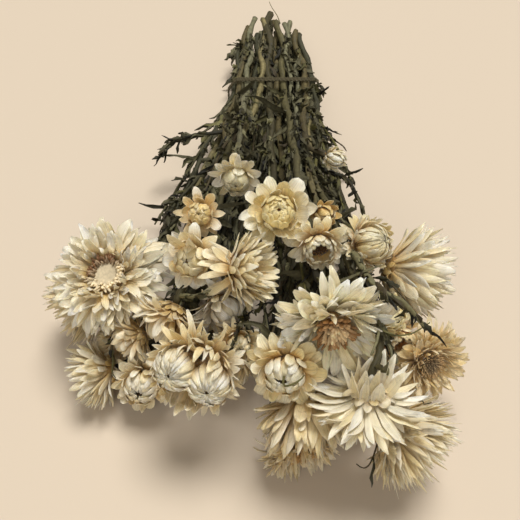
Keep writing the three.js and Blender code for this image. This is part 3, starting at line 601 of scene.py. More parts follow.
def relax(stems, heads):
    """Stems push each other and the heads apart, and spring back a little to their own curl."""
    points = np.array([stem.points for stem in stems])
    radii = stem_radii(points.shape[1])
    pairs = stretch_pairs(stems, radii)
    cores, reaches = cores_of(heads)
    own = np.array([[[stem.head is head for head in heads]] for stem in stems])
    own_neck = own & (np.arange(PUSHED)[None, :, None] <= 1)
    keep = np.where(own_neck, 0, HEAD_KEEP_OUT * reaches + radii[1:PUSHED + 1, None] + STEM_GAP)
    free = slice(2, STEM_STEPS + 2)
    curl = points[:, free] - (points[:, 1:STEM_STEPS + 1] + points[:, 3:STEM_STEPS + 3]) / 2
    for turn in range(RELAX_ROUNDS):
        moves = np.zeros_like(points)
        push_stems_apart(points, pairs, moves)
        push_off_heads(points, cores, keep, moves)
        length = np.linalg.norm(moves, axis=-1, keepdims=True)
        moves *= np.minimum(1, LONGEST_MOVE / np.maximum(length, 1e-9))
        rest = (points[:, 1:STEM_STEPS + 1] + points[:, 3:STEM_STEPS + 3]) / 2 + curl
        spring = SPRING if turn < RELAX_ROUNDS - SETTLE_ROUNDS else 0
        moved = points[:, free] + spring * (rest - points[:, free]) + moves[:, free]
        keep_above(moved, radii[free] + CLEARANCE)
        points[:, free] = moved
    for stem, row in zip(stems, points):
        stem.points = row


def stem_radii(count):
    """Radii at a stem's points, which grow from the neck to the tie."""
    return NECK_RADIUS + (STEM_RADIUS - NECK_RADIUS) * np.clip(np.arange(count) / (STEM_STEPS + 2), 0, 1)


def stem_capsules(stem):
    """Starts, ends and radii of the stretches of a stem."""
    radii = stem_radii(len(stem.points))
    return stem.points[:-1], stem.points[1:], np.maximum(radii[:-1], radii[1:])


def grow_leaf(stem, site, attempt):
    """One try at a leaf of the solids, from the same draws as theirs."""
    draw = draws_from(LEAF_SEED + 500 * (stem.head.number - 1) + 20 * site + attempt)
    spot = LEAF_SITES[site] * (len(stem.points) - 1) + 0.6 * (draw() - 0.5)
    k = int(spot)
    root = stem.points[k] + (spot - k) * (stem.points[k + 1] - stem.points[k])
    ahead = unit(stem.points[k] - stem.points[k + 1])
    out = outward(ahead, 2 * math.pi * draw())
    direction = unit(out + (0.45 + 0.5 * draw()) * ahead)
    length = LEAF_LENGTH * (0.7 + 0.6 * draw())
    azimuth = 360 * draw()
    curl = facing(azimuth, 90 * (draw() - 0.6)) * 0.35 * length
    flat = unit(np.cross(direction, out))
    flat = unit(flat + (draw() - 0.5) * out)
    width = LEAF_WIDTH * (0.75 + 0.4 * draw())
    return SimpleNamespace(stem=stem, root=root, reach=direction * length, curl=curl, flat=flat, width=width,
                           twist=1.6 * (draw() - 0.5))


def nearest_on_stems(place, stems):
    """The stem that passes nearest to a place, and where it does."""
    best = None
    for stem in stems:
        starts, ends, _ = stem_capsules(stem)
        share = np.clip(dot(place - starts, ends - starts) / dot(ends - starts, ends - starts), 0, 1)
        roots = starts + share[:, None] * (ends - starts)
        distances = np.linalg.norm(roots - place, axis=1)
        k = int(np.argmin(distances))
        if best is None or distances[k] < best[0] - 1e-9:
            best = (distances[k], stem, roots[k])
    return best[1], best[2]


def grow_edge_leaf(tip_place, stems):
    """A leaf from the nearest stem behind its tip to that tip."""
    tip = np.array(tip_place, float) + LAYOUT_SHIFT
    stem, root = nearest_on_stems(tip + np.array([0.0, EDGE_LEAF_BACK, 0.0]), stems)
    reach = tip - root
    curl = np.array([0.0, 0.0, -EDGE_LEAF_SAG])
    flat = unit(np.cross(reach, UP))
    return SimpleNamespace(stem=stem, root=root, reach=reach - curl, curl=curl, flat=flat,
                           width=EDGE_LEAF_WIDTH, twist=1.0)


def leaf_capsules(leaf):
    """Starts, ends and radii of three stretches of a leaf, which leave its root free."""
    shares = np.array([0, 0.35, 0.7, 1])[:, None]
    midrib = leaf.root + shares * leaf.reach + shares ** 2 * leaf.curl
    starts, ends = midrib[:-1].copy(), midrib[1:]
    starts[0] = (midrib[0] + midrib[1]) / 2
    return starts, ends, leaf.width * np.array([0.36, 0.5, 0.46])


def clear_of(capsules, others):
    """Whether capsules keep clear of other ones."""
    if not len(others[0]):
        return True
    starts, ends, radii = (values[:, None] for values in capsules)
    s, t = nearest_shares(starts, ends, others[0][None], others[1][None])
    gap = starts + s[..., None] * (ends - starts) - others[0] - t[..., None] * (others[1] - others[0])
    return bool((np.linalg.norm(gap, axis=-1) - radii - others[2] > CLEARANCE).all())


def lay_out_leaves(stems, heads):
    """The leaves of the solids: those at the edges, then those of each stem that fit."""
    stretches = [stem_capsules(stem) for stem in stems]
    grid = [np.concatenate(columns) for columns in zip(*stretches)]
    shoot_of = np.repeat([stem.shoot for stem in stems], len(stretches[0][0]))
    cores, reaches = cores_of(heads)
    reaches = LEAF_KEEP_OUT * reaches
    taken = [np.zeros((0, 3)), np.zeros((0, 3)), np.zeros(0)]
    leaves = []

    def keep_if_fitting(leaf):
        capsules = starts, ends, radii = leaf_capsules(leaf)
        line = (ends - starts)[:, None]
        share = np.clip(dot(cores - starts[:, None], line) / dot(line, line), 0, 1)
        distance = np.linalg.norm(starts[:, None] + share[..., None] * line - cores, axis=-1)
        others = [values[shoot_of != leaf.stem.shoot] for values in grid]
        fits = (
            (np.minimum(starts[:, 2], ends[:, 2]) > radii + CLEARANCE).all()
            and (abs(ends[:, 0]) < LEAF_SPAN).all()
            and (abs(starts[:, 1] - TIE_LINE) > TWINE_WIDTH + radii).all()
            and (abs(ends[:, 1] - TIE_LINE) > TWINE_WIDTH + radii).all()
            and (distance > reaches + radii[:, None]).all()
            and clear_of(capsules, others) and clear_of(capsules, taken)
        )
        if fits:
            leaves.append(leaf)
            taken[:] = [np.concatenate(pair) for pair in zip(taken, capsules)]
        return bool(fits)

    for tip in EDGE_LEAF_TIPS:
        keep_if_fitting(grow_edge_leaf(tip, stems))
    for stem in stems:
        grown = 0
        for turn in range(len(LEAF_SITES) * LEAF_TRIES):
            if grown == LEAVES_PER_STEM:
                break
            site = (turn + stem.head.number - 1) % len(LEAF_SITES)
            grown += keep_if_fitting(grow_leaf(stem, site, turn // len(LEAF_SITES)))
    return leaves


# ---------- closed skins ----------

# A blade's section, from one edge round to the other and back: places across it, the side that each is
# on, and the pleats that run along it
BRACT_SECTION = (np.array([1, 0.55, 0, -0.55, -1, -0.55, 0, 0.55]),
                 np.array([0, 0.8, 1, 0.8, 0, -0.8, -1, -0.8]),
                 np.array([0, -1, 0.8, -1, 0, -1, 0.8, -1]))
LEAF_SECTION = (np.array([1, 0.25, -0.35, -1, -0.25, 0.35]),
                np.array([0, 1, 0.9, 0, -1, -0.9]),
                np.array([0, 1.2, -1.2, 0, -1.2, 1.2]))


def rings(centre, across, ahead, x, y):
    """Rings of points round centrelines, x across them and y above them."""
    above = np.cross(ahead, across)
    return centre[:, :, None] + x[..., None] * across[:, :, None] + y[..., None] * above[:, :, None]


def blades(centre, across, half_width, roll, thickness, ripple=0, pleat=0.10, section=BRACT_SECTION):
    """Closed thin blades along centrelines (n, stations, 3), rolled up at their edges by an angle."""
    place_across, place_above, place_pleat = section
    ahead = unit(np.gradient(centre, axis=1))
    across = square_to(ahead, across)
    roll = np.maximum(roll, 0.02)[..., None]
    turn = place_across * roll
    half_width = half_width[..., None]
    lift = place_above * thickness / 2
    x = half_width * np.sin(turn) / roll - lift * np.sin(turn)
    y = half_width * (1 - np.cos(turn)) / roll + lift * np.cos(turn)
    y = y + ripple * place_across + pleat * half_width * place_pleat
    return rings(centre, across, ahead, x, y)


def tubes(centre, radii, guide=UP):
    """Closed tubes along centrelines (n, stations, 3) with radii (n, stations, sides)."""
    ahead = unit(np.gradient(centre, axis=1))
    across = np.empty_like(centre)
    last = np.broadcast_to(guide, centre[:, 0].shape)
    for k in range(centre.shape[1]):
        last = square_to(ahead[:, k], last)
        across[:, k] = last
    angles = ring_angles(radii.shape[2])
    return rings(centre, across, ahead, radii * np.cos(angles), radii * np.sin(angles))


def skin_faces(count, stations, sides, start):
    """Faces of many closed skins whose points are given ring by ring."""
    ring = np.arange(sides)
    following = (ring + 1) % sides
    level = np.arange(stations - 1)[:, None] * sides
    quads = np.stack([level + ring, level + following, level + sides + following, level + sides + ring], -1)
    offsets = start + np.arange(count) * stations * sides
    quads = (offsets[:, None, None] + quads.reshape(1, -1, 4)).reshape(-1, 4)
    feet = offsets[:, None] + ring[::-1]
    tips = offsets[:, None] + (stations - 1) * sides + ring
    return quads.tolist() + feet.tolist() + tips.tolist()


def part(points, tint, along=None, across=None, shade=None, sharp=()):
    """Many closed skins (n, stations, sides, 3), their colour and the coordinates that the grain follows."""
    shape = points.shape[:3]
    along = np.linspace(0, 1, shape[1])[None, :, None] if along is None else along
    across = np.arange(shape[2])[None, None] / shape[2] if across is None else across
    shade = np.arange(shape[0])[:, None, None] * GOLDEN_SHARE % 1 if shade is None else shade
    grain = np.stack([np.broadcast_to(values, shape) for values in (along, across, shade)], -1)
    rim = np.zeros(shape[2], bool)
    rim[list(sharp)] = True
    return SimpleNamespace(points=points, tint=np.broadcast_to(tint, shape + (3,)), grain=grain,
                           rim=np.broadcast_to(rim, shape))


def mesh_of(name, parts):
    """One mesh of many closed skins in metres, which keeps their colour and grain."""
    faces, start = [], 0
    for one in parts:
        count, stations, sides = one.points.shape[:3]
        faces += skin_faces(count, stations, sides, start)
        start += count * stations * sides
    points, tint, grain = (np.concatenate([getattr(one, key).reshape(-1, 3) for one in parts])
                           for key in ("points", "tint", "grain"))
    rim = np.concatenate([one.rim.ravel() for one in parts])
    mesh = bpy.data.meshes.new(name)
    mesh.from_pydata(points / MM_PER_METRE, [], faces)
    mesh.shade_smooth()
    colours = np.concatenate([np.clip(tint, 0, 1), np.ones((len(tint), 1))], 1)
    mesh.attributes.new("tint", "FLOAT_COLOR", "POINT").data.foreach_set("color", colours.ravel())
    mesh.attributes.new("grain", "FLOAT_VECTOR", "POINT").data.foreach_set("vector", grain.ravel())
    ends = np.zeros(2 * len(mesh.edges), int)
    mesh.edges.foreach_get("vertices", ends)
    sharp = rim[ends.reshape(-1, 2)].all(1)
    mesh.attributes.new("sharp_edge", "BOOLEAN", "EDGE").data.foreach_set("value", sharp)
    return mesh


def make_piece(name, parts, material, node):
    """A piece of many closed skins in place of a node of the solids."""
    mesh = mesh_of(name, parts)
    mesh.materials.append(material)
    piece = bpy.data.objects.new(name, mesh)
    bpy.context.scene.collection.objects.link(piece)
    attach(piece, "root")
    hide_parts(node)


# ---------- flower heads ----------


def walls_round(head, heads):
    """Planes that a head's bracts press against: directions and distances from its core."""
    normals, limits = [-UP], [head.core[2] - LOWEST_CENTRELINE]
    for other in heads:
        apart = other.core - head.core
        distance = np.linalg.norm(apart)
        if other is not head and distance < NEIGHBOUR_REACH * (head.radius + other.radius):
            normals.append(apart / distance)
            limits.append(head.radius / (head.radius + other.radius) * distance)
    return np.array(normals), np.array(limits)


def press(centre, head, walls, give):
    """Slides the parts of centrelines beyond a wall back to it. The first wall, the floor, doesn't give."""
    normals, limits = walls
    for _ in range(PRESS_ROUNDS):
        for k, (normal, limit) in enumerate(zip(normals, limits)):
            room = limit + (give * PRESS_DEPTH if k else 0)
            depth = np.maximum(dot(centre - head.core, normal) - room, 0)
            centre = centre - depth[..., None] * normal
    return centre


def head_points(head, distance, height, angle):
    """Points of a head from their distance to its axis, height and angle round it."""
    across = np.cos(angle)[..., None] * head.side + np.sin(angle)[..., None] * head.rise
    return head.place + head.radius * (height[..., None] * head.axis + distance[..., None] * across)


def width_profile(s, point):
    """Share of a bract's full width along it: narrow foot, broad middle, blunt or drawn out tip."""
    widest = 0.66 - 0.2 * point
    foot = 0.5 + 0.5 * smooth(s / widest)
    beyond = np.clip((s - widest) / (1.02 - widest), 0, 1)
    taper = (1 - beyond ** (3.2 - 1.6 * point)) ** (0.5 + 0.5 * point)
    return foot * np.maximum(taper, 0.08)


def bract_tint(look, s, vary, share):
    """Colour of bracts from their feet to their tips and across them, by their share in a ball."""
    blend = smooth((s - 0.05) / 0.8 + 0.12 * vary[:, 6:7])[..., None]
    tips = mixed(linear(look.tip), linear(look.ball), share[..., None])
    tint = mixed(linear(look.foot), tips, blend)
    warmth = AGEING ** (0.95 + 0.85 * vary[:, 7:8])
    tint = (tint * ((1 + 0.09 * vary[:, 8:9]) * warmth)[:, None])[:, :, None]
    return tint * (0.93 + 0.14 * np.abs(BRACT_SECTION[0]) ** 2)[:, None]


def bract_part(head, walls, look, rows, angle, rng, inner=0.0):
    """Bracts from rows of distance and height of the tip, the foot and the bend, and width.

    Those of a ball, with inner at 1, are the tidiest.
    """
    tip_r, tip_h, foot_r, foot_h, bend_r, bend_h, width = (column[:, None] for column in rows.T)
    count = len(rows)
    vary = rng.uniform(-1, 1, (count, 10))
    s = np.linspace(0, 1, BRACT_STATIONS)[None] ** 0.9
    mess = look.mess
    inner = inner * np.ones((count, 1))
    outer = 1 - 0.8 * inner
    sway = mess * 0.22 * vary[:, :1] * s ** 2
    distance = (1 - s) ** 2 * foot_r + 2 * (1 - s) * s * bend_r + s ** 2 * tip_r
    height = (1 - s) ** 2 * foot_h + 2 * (1 - s) * s * bend_h + s ** 2 * tip_h
    curl = mess * outer * (0.16 * vary[:, 1:2] * s ** 3 + 0.06 * vary[:, 9:] * np.sin(5 * s))
    centre = head_points(head, distance - 0.3 * curl, height + curl, angle[:, None] + sway)
    centre = press(centre, head, walls, s ** 2)
    along_ring = -np.sin(angle)[:, None, None] * head.side + np.cos(angle)[:, None, None] * head.rise
    ahead = unit(np.gradient(centre, axis=1))
    twist = mess * outer * vary[:, 2:3] * s
    across = turned(square_to(ahead, along_ring), ahead, twist)
    wide = head.radius * look.width * width * (1 + (0.16 + 0.18 * mess * outer) * vary[:, 3:4])
    wide = wide * width_profile(s, np.clip(look.point + 0.3 * vary[:, 6:7], 0, 1))
    wide = wide * (1 + 0.07 * mess * np.sin(13 * s + 8 * vary[:, 4:5]))
    wrap = 0.8 * wide / (head.radius * np.maximum(distance, 0.22))
    roll = look.roll * (1 + (look.ribs - 1) * inner)
    rolled = np.clip(wrap + roll * (0.8 + 0.6 * vary[:, 4:5]) * (0.5 + 0.5 * s), 0.02, 1.5)
    ripple = (0.16 * wide * mess * outer * np.sin(9 * s + 6 * vary[:, 5:6]))[..., None]
    points = blades(centre, across, wide, rolled, BRACT_THICKNESS * (1 - 0.4 * s)[..., None], ripple)
    keep_above(points, LOWEST_BRACT)
    tint = bract_tint(look, s, vary, inner)
    shade = rng.uniform(0, 1, (count, 1, 1))
    return part(points, tint, along=s[..., None], across=BRACT_SECTION[0], shade=shade, sharp=(0, 4))


def bract_rows(head, look, count):
    """Rows of the bracts from the outermost to the innermost, their angles, and how far each is in a ball."""
    table = np.array(WHORLS[head.form])
    t = ((np.arange(count) + 0.5) / count) ** look.crowd
    rows = np.stack([np.interp(t, table[:, 0], table[:, column]) for column in range(1, 8)], 1)
    outer = 1 - smooth(t / 0.45)
    rows[:, 1] -= 0.24 * look.droop * outer
    rows[:, 0] -= 0.04 * look.droop * outer
    inner = smooth((t - 0.42) / 0.2)
    rows[:, 0] += 0.32 * look.opening * inner
    rows[:, 1] -= 0.10 * look.opening * inner
    rows[:, 4] *= 1 + inner * (look.ball_size - 1)
    balled = inner * (head.form not in CUP_FLOORS)
    rows[:, 6] *= 1 + balled * (look.ball_width / look.width - 1)
    return rows, np.arange(count) * GOLDEN_ANGLE, balled


def scale_part(head, walls, tint, rng):
    """Short dry scales that clothe the underside, between the stem and the outermost bracts."""
    count = SCALES_PER_HEAD
    t = (np.arange(count) + 0.5) / count
    rows = np.stack([0.30 + 0.24 * t, -0.24 + 0.10 * t, 0.07 + 0.05 * t, -0.31 + 0.06 * t,
                     0.22 + 0.14 * t, -0.33 + 0.10 * t, np.ones(count)], 1)
    scales = bracts(count, SCALE_WIDTH, tint, SCALE_FOOT_TINT)
    return bract_part(head, walls, scales, rows, np.arange(count) * GOLDEN_ANGLE + 1, rng)


def lathe(head, profile, tint):
    """A closed body turned round the head's axis, from distances to it and heights."""
    shape = (1, len(profile), LATHE_SIDES)
    distance, height, angle = (np.broadcast_to(values, shape) for values in
                               (profile[None, :, :1], profile[None, :, 1:], ring_angles(LATHE_SIDES)))
    return part(head_points(head, distance, height, angle), tint)


def heart_part(head, look):
    """The receptacle and the body under the inner bracts."""
    profile = np.array(HEART_FOOT + HEARTS[head.form])
    profile[:, 1] -= look.opening * np.maximum(profile[:, 1] - 0.15, 0)
    top = smooth((profile[:, 1] + 0.1) / 0.3)[None, :, None, None]
    return lathe(head, profile, mixed(linear(RECEPTACLE_TINT), linear(look.heart), top))


def lobes_of(head, look):
    """The two halves of a ball that grew double."""
    angle = math.radians(look.lobe_angle)
    apart = math.cos(angle) * head.side + math.sin(angle) * head.rise
    halves = []
    for way in (apart, -apart):
        half = SimpleNamespace(**vars(head))
        half.axis = unit(head.axis + LOBE_LEAN * way)
        half.side = unit(np.cross(half.axis, UP))
        half.rise = np.cross(half.axis, half.side)
        half.place = head.place + head.radius * (LOBE_RISE * head.axis + LOBE_APART * way)
        half.radius = LOBE_SIZE * head.radius
        halves.append(half)
    return halves


def lone_bract_part(head, walls, look, rng):
    """Single bracts that stand out of a head."""
    angle, distance, height, width = np.array(LONE_BRACTS[head.number]).T
    level = np.ones(len(angle))
    rows = np.stack([distance, height, 0.28 * level, 0.05 * level, 0.5 * distance, 0.5 * height + 0.1,
                     width / look.width], 1)
    return bract_part(head, walls, look, rows, np.radians(angle), rng)


def dress_head(head, heads, material):
    """The bracts of a head, with its underside and the body inside."""
    look = LOOKS[head.look]
    rng = np.random.default_rng(BRACT_SEED + head.number)
    walls = walls_round(head, heads)
    count = int(look.count * (head.radius / COUNTED_AT) ** 0.5)
    rows, angle, inner = bract_rows(head, look, count)
    angle = angle + look.mess * 0.3 * rng.uniform(-1, 1, count)
    rows[:, :2] *= 1 + 0.09 * (1 - 0.7 * inner[:, None]) * rng.uniform(-1, 1, (count, 1))
    parts = [scale_part(head, walls, look.scales, rng)]
    if look.lobe_angle is None:
        parts += [heart_part(head, look), bract_part(head, walls, look, rows, angle, rng, inner[:, None])]
    else:
        parts.append(bract_part(head, walls, look, rows[inner < 0.5], angle[inner < 0.5], rng))
        for side, lobe in zip((1, -1), lobes_of(head, look)):
            own = (inner >= 0.5) & (np.arange(count) % 2 == (side > 0))
            parts.append(bract_part(lobe, walls, look, rows[own], angle[own] * side, rng, inner[own, None]))
            parts.append(heart_part(lobe, look))
    if look.opening > 0.5:
        parts.append(floret_part(head, HOLLOW_HEART, rng))
    if head.number in LONE_BRACTS:
        parts.append(lone_bract_part(head, walls, look, rng))
    make_piece(f"bracts_{head.number:02d}", parts, material, f"flower_head_{head.number:02d}")


def floret_part(head, look, rng):
    """Small tubes that stand close together in the cup of a head."""
    floor = CUP_FLOORS.get(head.form, CUP_FLOORS["open"])
    t = np.sqrt(look.bare ** 2 + (1 - look.bare ** 2) * (np.arange(look.count) + 0.5) / look.count)
    angle = np.arange(look.count) * GOLDEN_ANGLE
    vary = rng.uniform(-1, 1, (look.count, 6))
    s = np.array([0, 0.4, 0.75, 1.0])
    lean = 0.10 * look.reach * t + 0.04 * look.size * vary[:, 0]
    top = floor + 0.13 * look.reach + 0.08 * look.swell * (1 - t ** 2) + 0.03 * look.size * vary[:, 1]
    distance = 0.25 * t[:, None] + lean[:, None] * s ** 2
    height = floor + (top[:, None] - floor) * s
    bend = (0.12 + 0.25 * (look.size - 1)) * vary[:, 2:3] * s ** 2
    centre = head_points(head, distance, height, angle[:, None] + bend)
    thick = head.radius * 0.017 * look.size * (1 + 0.25 * vary[:, 3:4]) * np.array([0.9, 0.8, 1.15, 0.6])
    radii = np.repeat(thick[..., None], FLORET_SIDES, 2)
    share = smooth(1.6 * t - 0.5 + 0.1 * vary[:, 4])
    # the rim's darker colour is kept only along one arc round the disc
    if look.rim_arc:
        off = np.abs((np.degrees(angle) - look.rim_arc[0] + 180) % 360 - 180)
        share = share * smooth((1.3 * look.rim_arc[1] - off) / (0.6 * look.rim_arc[1]))
    share = share[:, None, None, None]
    tint = mixed(linear(look.middle), linear(look.rim), share)
    # painted shade: each floret is darkest at its foot, down among the crowded florets, and lighter towards
    # its tip, on top of a random tone
    tone_and_painted_shade = (1 + 0.25 * vary[:, 5])[:, None, None, None] * (0.55 + 0.6 * s)[None, :, None, None]
    return part(tubes(centre, radii, head.side), tint * tone_and_painted_shade)


def dress_disc(head, material):
    """Florets of an open or bell-shaped head, on the low cushion that they stand in."""
    look = DISCS.get(head.number, COMMON_DISC)
    rng = np.random.default_rng(DISC_SEED + head.number)
    dip = 0.05 if look.bare else 0.0
    distances = [0.27, 0.275, 0.2, 0.1, 0.02]
    heights = np.array([0.015, 0.04, 0.07 - dip / 2, 0.075 - dip, 0.075 - dip]) + CUP_FLOORS[head.form]
    # painted shade: the cushion's colour is darkened where florets stand over it, and less where the disc is
    # bare
    shade = 0.8 if look.bare else 0.45
    bed = lathe(head, np.stack([distances, heights], 1), linear(look.middle) * shade)
    make_piece(f"florets_{head.number:02d}", [floret_part(head, look, rng), bed], material,
               f"floret_disc_{head.number:02d}")


# ---------- stems and leaves ----------


def smooth_line(points, step):
    """Points along a smooth curve through given ones, about a step apart, and their places among those."""
    padded = np.vstack([2 * points[0] - points[1], points, 2 * points[-1] - points[-2]])
    places = []
    for k in range(len(points) - 1):
        pieces = max(2, int(round(np.linalg.norm(points[k + 1] - points[k]) / step)))
        places.append(k + np.arange(pieces) / pieces)
    place = np.append(np.concatenate(places), len(points) - 1.0)
    k = np.minimum(place.astype(int), len(points) - 2)
    t = (place - k)[:, None]
    p0, p1, p2, p3 = (padded[k + shift] for shift in range(4))
    line = 0.5 * (2 * p1 + (p2 - p0) * t + (2 * p0 - 5 * p1 + 4 * p2 - p3) * t ** 2
                  + (3 * p1 - p0 - 3 * p2 + p3) * t ** 3)
    return line, place


def stem_part(stem):
    """One ridged, flattened, slightly wavy dry stem."""
    rng = np.random.default_rng(STEM_SEED + stem.head.number)
    line, place = smooth_line(stem.points, STEM_STATION)
    count = len(line)
    length = np.arange(count) * STEM_STATION
    radius = np.interp(place, np.arange(len(stem.points)), stem_radii(len(stem.points)))
    thinner = rng.uniform(0.02, 0.36) * smooth(place / 4)
    shrunk_end = 0.3 * smooth(place - len(stem.points) + 1.3)
    radius = radius * (1 - thinner) * (1 - shrunk_end)
    phases = rng.uniform(0, 6.3, 6)
    past_tie = line[:, 1] - TIE_Y - LAYOUT_SHIFT[1]
    ease = smooth(place / 2) * (1 - 0.7 * np.exp(-(past_tie / 12) ** 2)) * (1 + 1.8 * smooth(past_tie / 60))
    sideways, upwards = np.sin(length / 9 + phases[0]), np.sin(length / 11 + phases[1])
    wave = 0.8 * np.stack([sideways, np.zeros(count), upwards], 1)
    line = line + wave * ease[:, None]
    knots = 0.12 * np.sin(length / 5.1 + phases[2]) + 0.10 * np.sin(length / 2.3 + phases[3])
    angles = ring_angles(STEM_SIDES)
    twist = (0.02 * length + phases[4])[:, None]
    ridges = 0.09 * np.cos(5 * (angles + twist)) + 0.10 * np.cos(2 * (angles + 0.4 * twist))
    radii = (0.93 * radius[:, None] * (1 + knots[:, None] + ridges))[None]
    points = tubes(line[None], radii)
    keep_above(points, LOWEST_LEAF)
    tint = linear(STEM_TINTS[stem.head.number % len(STEM_TINTS)]) * STEM_FADE
    # painted shade: a stem is darkened the nearer it runs to its head, down in the bunch under the heads, and
    # keeps its full tint from the tie on
    share = smooth(place / 9)[None, :, None, None]
    tint = tint * (0.55 + 0.5 * share) * (1 - 0.15 * (1 - share))
    tint = tint + linear(NECK_TINT) * 0.12 * (1 - share)
    along = (length / STEM_GRAIN)[None, :, None]
    return part(points, tint, along=along, shade=rng.uniform(0, 1, (1, 1, 1)))


def leaf_part(leaves, rng):
    """Narrow dry leaves, rolled, twisted and crumpled."""
    s = np.linspace(0, 1, LEAF_STATIONS)[None]
    root, reach, curl, flat, width, twist = (np.array([getattr(leaf, key) for leaf in leaves])[:, None]
                                             for key in ("root", "reach", "curl", "flat", "width", "twist"))
    count = len(leaves)
    vary = rng.uniform(-1, 1, (count, 9))
    length = np.linalg.norm(reach, axis=-1)
    centre = root + s[..., None] * reach + s[..., None] ** 2 * curl
    kink = 0.07 * length * (np.sin(9 * s + 3 * vary[:, :1]) - np.sin(3 * vary[:, :1])) * s
    lift = np.cross(unit(reach), flat)
    centre = centre + (kink * vary[:, 1:2])[..., None] * lift + (kink * vary[:, 2:3])[..., None] * flat
    profile = (0.3 + 0.7 * smooth(s / 0.35)) * np.maximum(1 - s ** 4, 0.12)
    wide = width / 2 * profile * (1 + 0.18 * np.sin(19 * s + 9 * vary[:, 3:4]))
    ahead = unit(np.gradient(centre, axis=1))
    turn = twist * s + 1.2 * vary[:, 4:5] * s + 0.3 * np.sin(8 * s + 5 * vary[:, 5:6])
    across = turned(square_to(ahead, flat), ahead, turn)
    rolled = 0.5 + 0.9 * np.abs(vary[:, 6:7]) + 0.35 * np.sin(11 * s + 7 * vary[:, 7:8])
    ripple = (0.3 * wide * np.sin(23 * s + 11 * vary[:, 3:4]))[..., None]
    points = blades(centre, across, wide, rolled, LEAF_THICKNESS, ripple, LEAF_PLEAT, LEAF_SECTION)
    keep_above(points, LOWEST_LEAF)
    tints = linear(LEAF_TINTS)[rng.integers(0, len(LEAF_TINTS), count)]
    tints = np.where(width > BROAD_LEAF, np.maximum(tints, linear(BROAD_LEAF_TINT)), tints)
    paler = np.clip(width / LEAF_PALER_FROM, 0.85, 1.5)
    tint = (tints * (1 + 0.25 * vary[:, 8:9]) * paler)[:, None, None]
    shade = rng.uniform(0, 1, (count, 1, 1))
    return part(points, tint, along=s[..., None], across=LEAF_SECTION[0], shade=shade, sharp=(0, 3))


def clinging_leaves(stem, line, count, heads, rng, size=1.0, keep_out=0.7):
    """Shrivelled leaves along a line, where they keep clear of the heads, the tie and the ground."""
    leaves = []
    cores, reaches = cores_of(heads)
    first = LEAFLESS_NECK if stem.head.axis[2] < -0.5 else 0.02
    for spot in np.sort(rng.uniform(first, 0.93, count)):
        k = int(spot * (len(line) - 2))
        ahead = unit(line[k] - line[k + 1])
        out = outward(ahead, rng.uniform(0, 2 * math.pi))
        length = rng.uniform(9, 24) * size
        direction = unit(ahead + rng.uniform(0.0, 0.75) * out)
        curl = rng.uniform(-0.6, 0.2) * out + rng.uniform(-0.4, 0.1) * ahead + LEAF_SAG
        leaf = SimpleNamespace(stem=stem, root=line[k], reach=direction * length, curl=length * curl,
                               flat=unit(np.cross(direction, out) + rng.uniform(-0.6, 0.6) * out),
                               width=rng.uniform(2.6, 6.4) * size, twist=rng.uniform(-3.0, 3.0))
        s = np.array([[0.6], [1.0]])
        tips = leaf.root + s * leaf.reach + s * s * leaf.curl
        clear = (np.linalg.norm(tips[:, None] - cores, axis=-1) > keep_out * reaches).all()
        from_tie = min(abs(tips[:, 1] - TIE_LINE).min(), abs(line[k][1] - TIE_LINE))
        if clear and (tips[:, 2] > LOWEST_TIP).all() and from_tie > FREE_OF_TIE:
            leaves.append(leaf)
    return leaves


def side_twigs(stem, rng):
    """Centrelines of thin side shoots that leave a stem and run along it towards the head."""
    line, place = smooth_line(stem.points, TWIG_STATION)
    twigs = []
    for _ in range(TWIGS_PER_STEM):
        first = int(np.searchsorted(place, rng.uniform(3.0, 8.6)))
        steps = min(int(rng.uniform(14, 34)), first - 3)
        if steps < SHORTEST_TWIG:
            continue
        path = line[first - np.arange(steps)]
        ahead = unit(path[-1] - path[0])
        out = outward(ahead, rng.uniform(0, 2 * math.pi))
        s = np.linspace(0, 1, TWIG_POINTS)[:, None]
        at = s[:, 0] * (steps - 1)
        path = np.stack([np.interp(at, np.arange(steps), path[:, axis]) for axis in range(3)], 1)
        wave = 1.2 * np.sin(9 * s + rng.uniform(0, 6)) * np.cross(ahead, out)
        path = path + out * rng.uniform(6, 13) * s ** 0.8 + wave * s
        if path[:, 2].min() > LOWEST_TIP:
            twigs.append(path)
    return twigs


def stray_twigs(stems):
    """Each stray twig's stem, centreline from it to the tip, thickness and number of leaves."""
    twigs = []
    for points, thickness, count in STRAY_TWIGS:
        path = np.array(points, float) + LAYOUT_SHIFT
        stem, root = nearest_on_stems(path[0], stems)
        line, _ = smooth_line(np.vstack([root, path[1:]]), LEAF_STEP)
        twigs.append((stem, line, thickness, count))
    return twigs


def twig_part(path, thickness, rng):
    """One thin twig, which tapers to its tip."""
    rough = 1 + 0.15 * rng.uniform(-1, 1, (1, len(path), TWIG_SIDES))
    radii = thickness * np.linspace(1.0, 0.5, len(path))[None, :, None] * rough
    tint = linear(LEAF_TINTS[rng.integers(0, len(LEAF_TINTS) - 1)]) * 1.2   # never the darkest one
    return part(tubes(path[None], radii), tint, along=np.linspace(0, 3, len(path))[None, :, None])


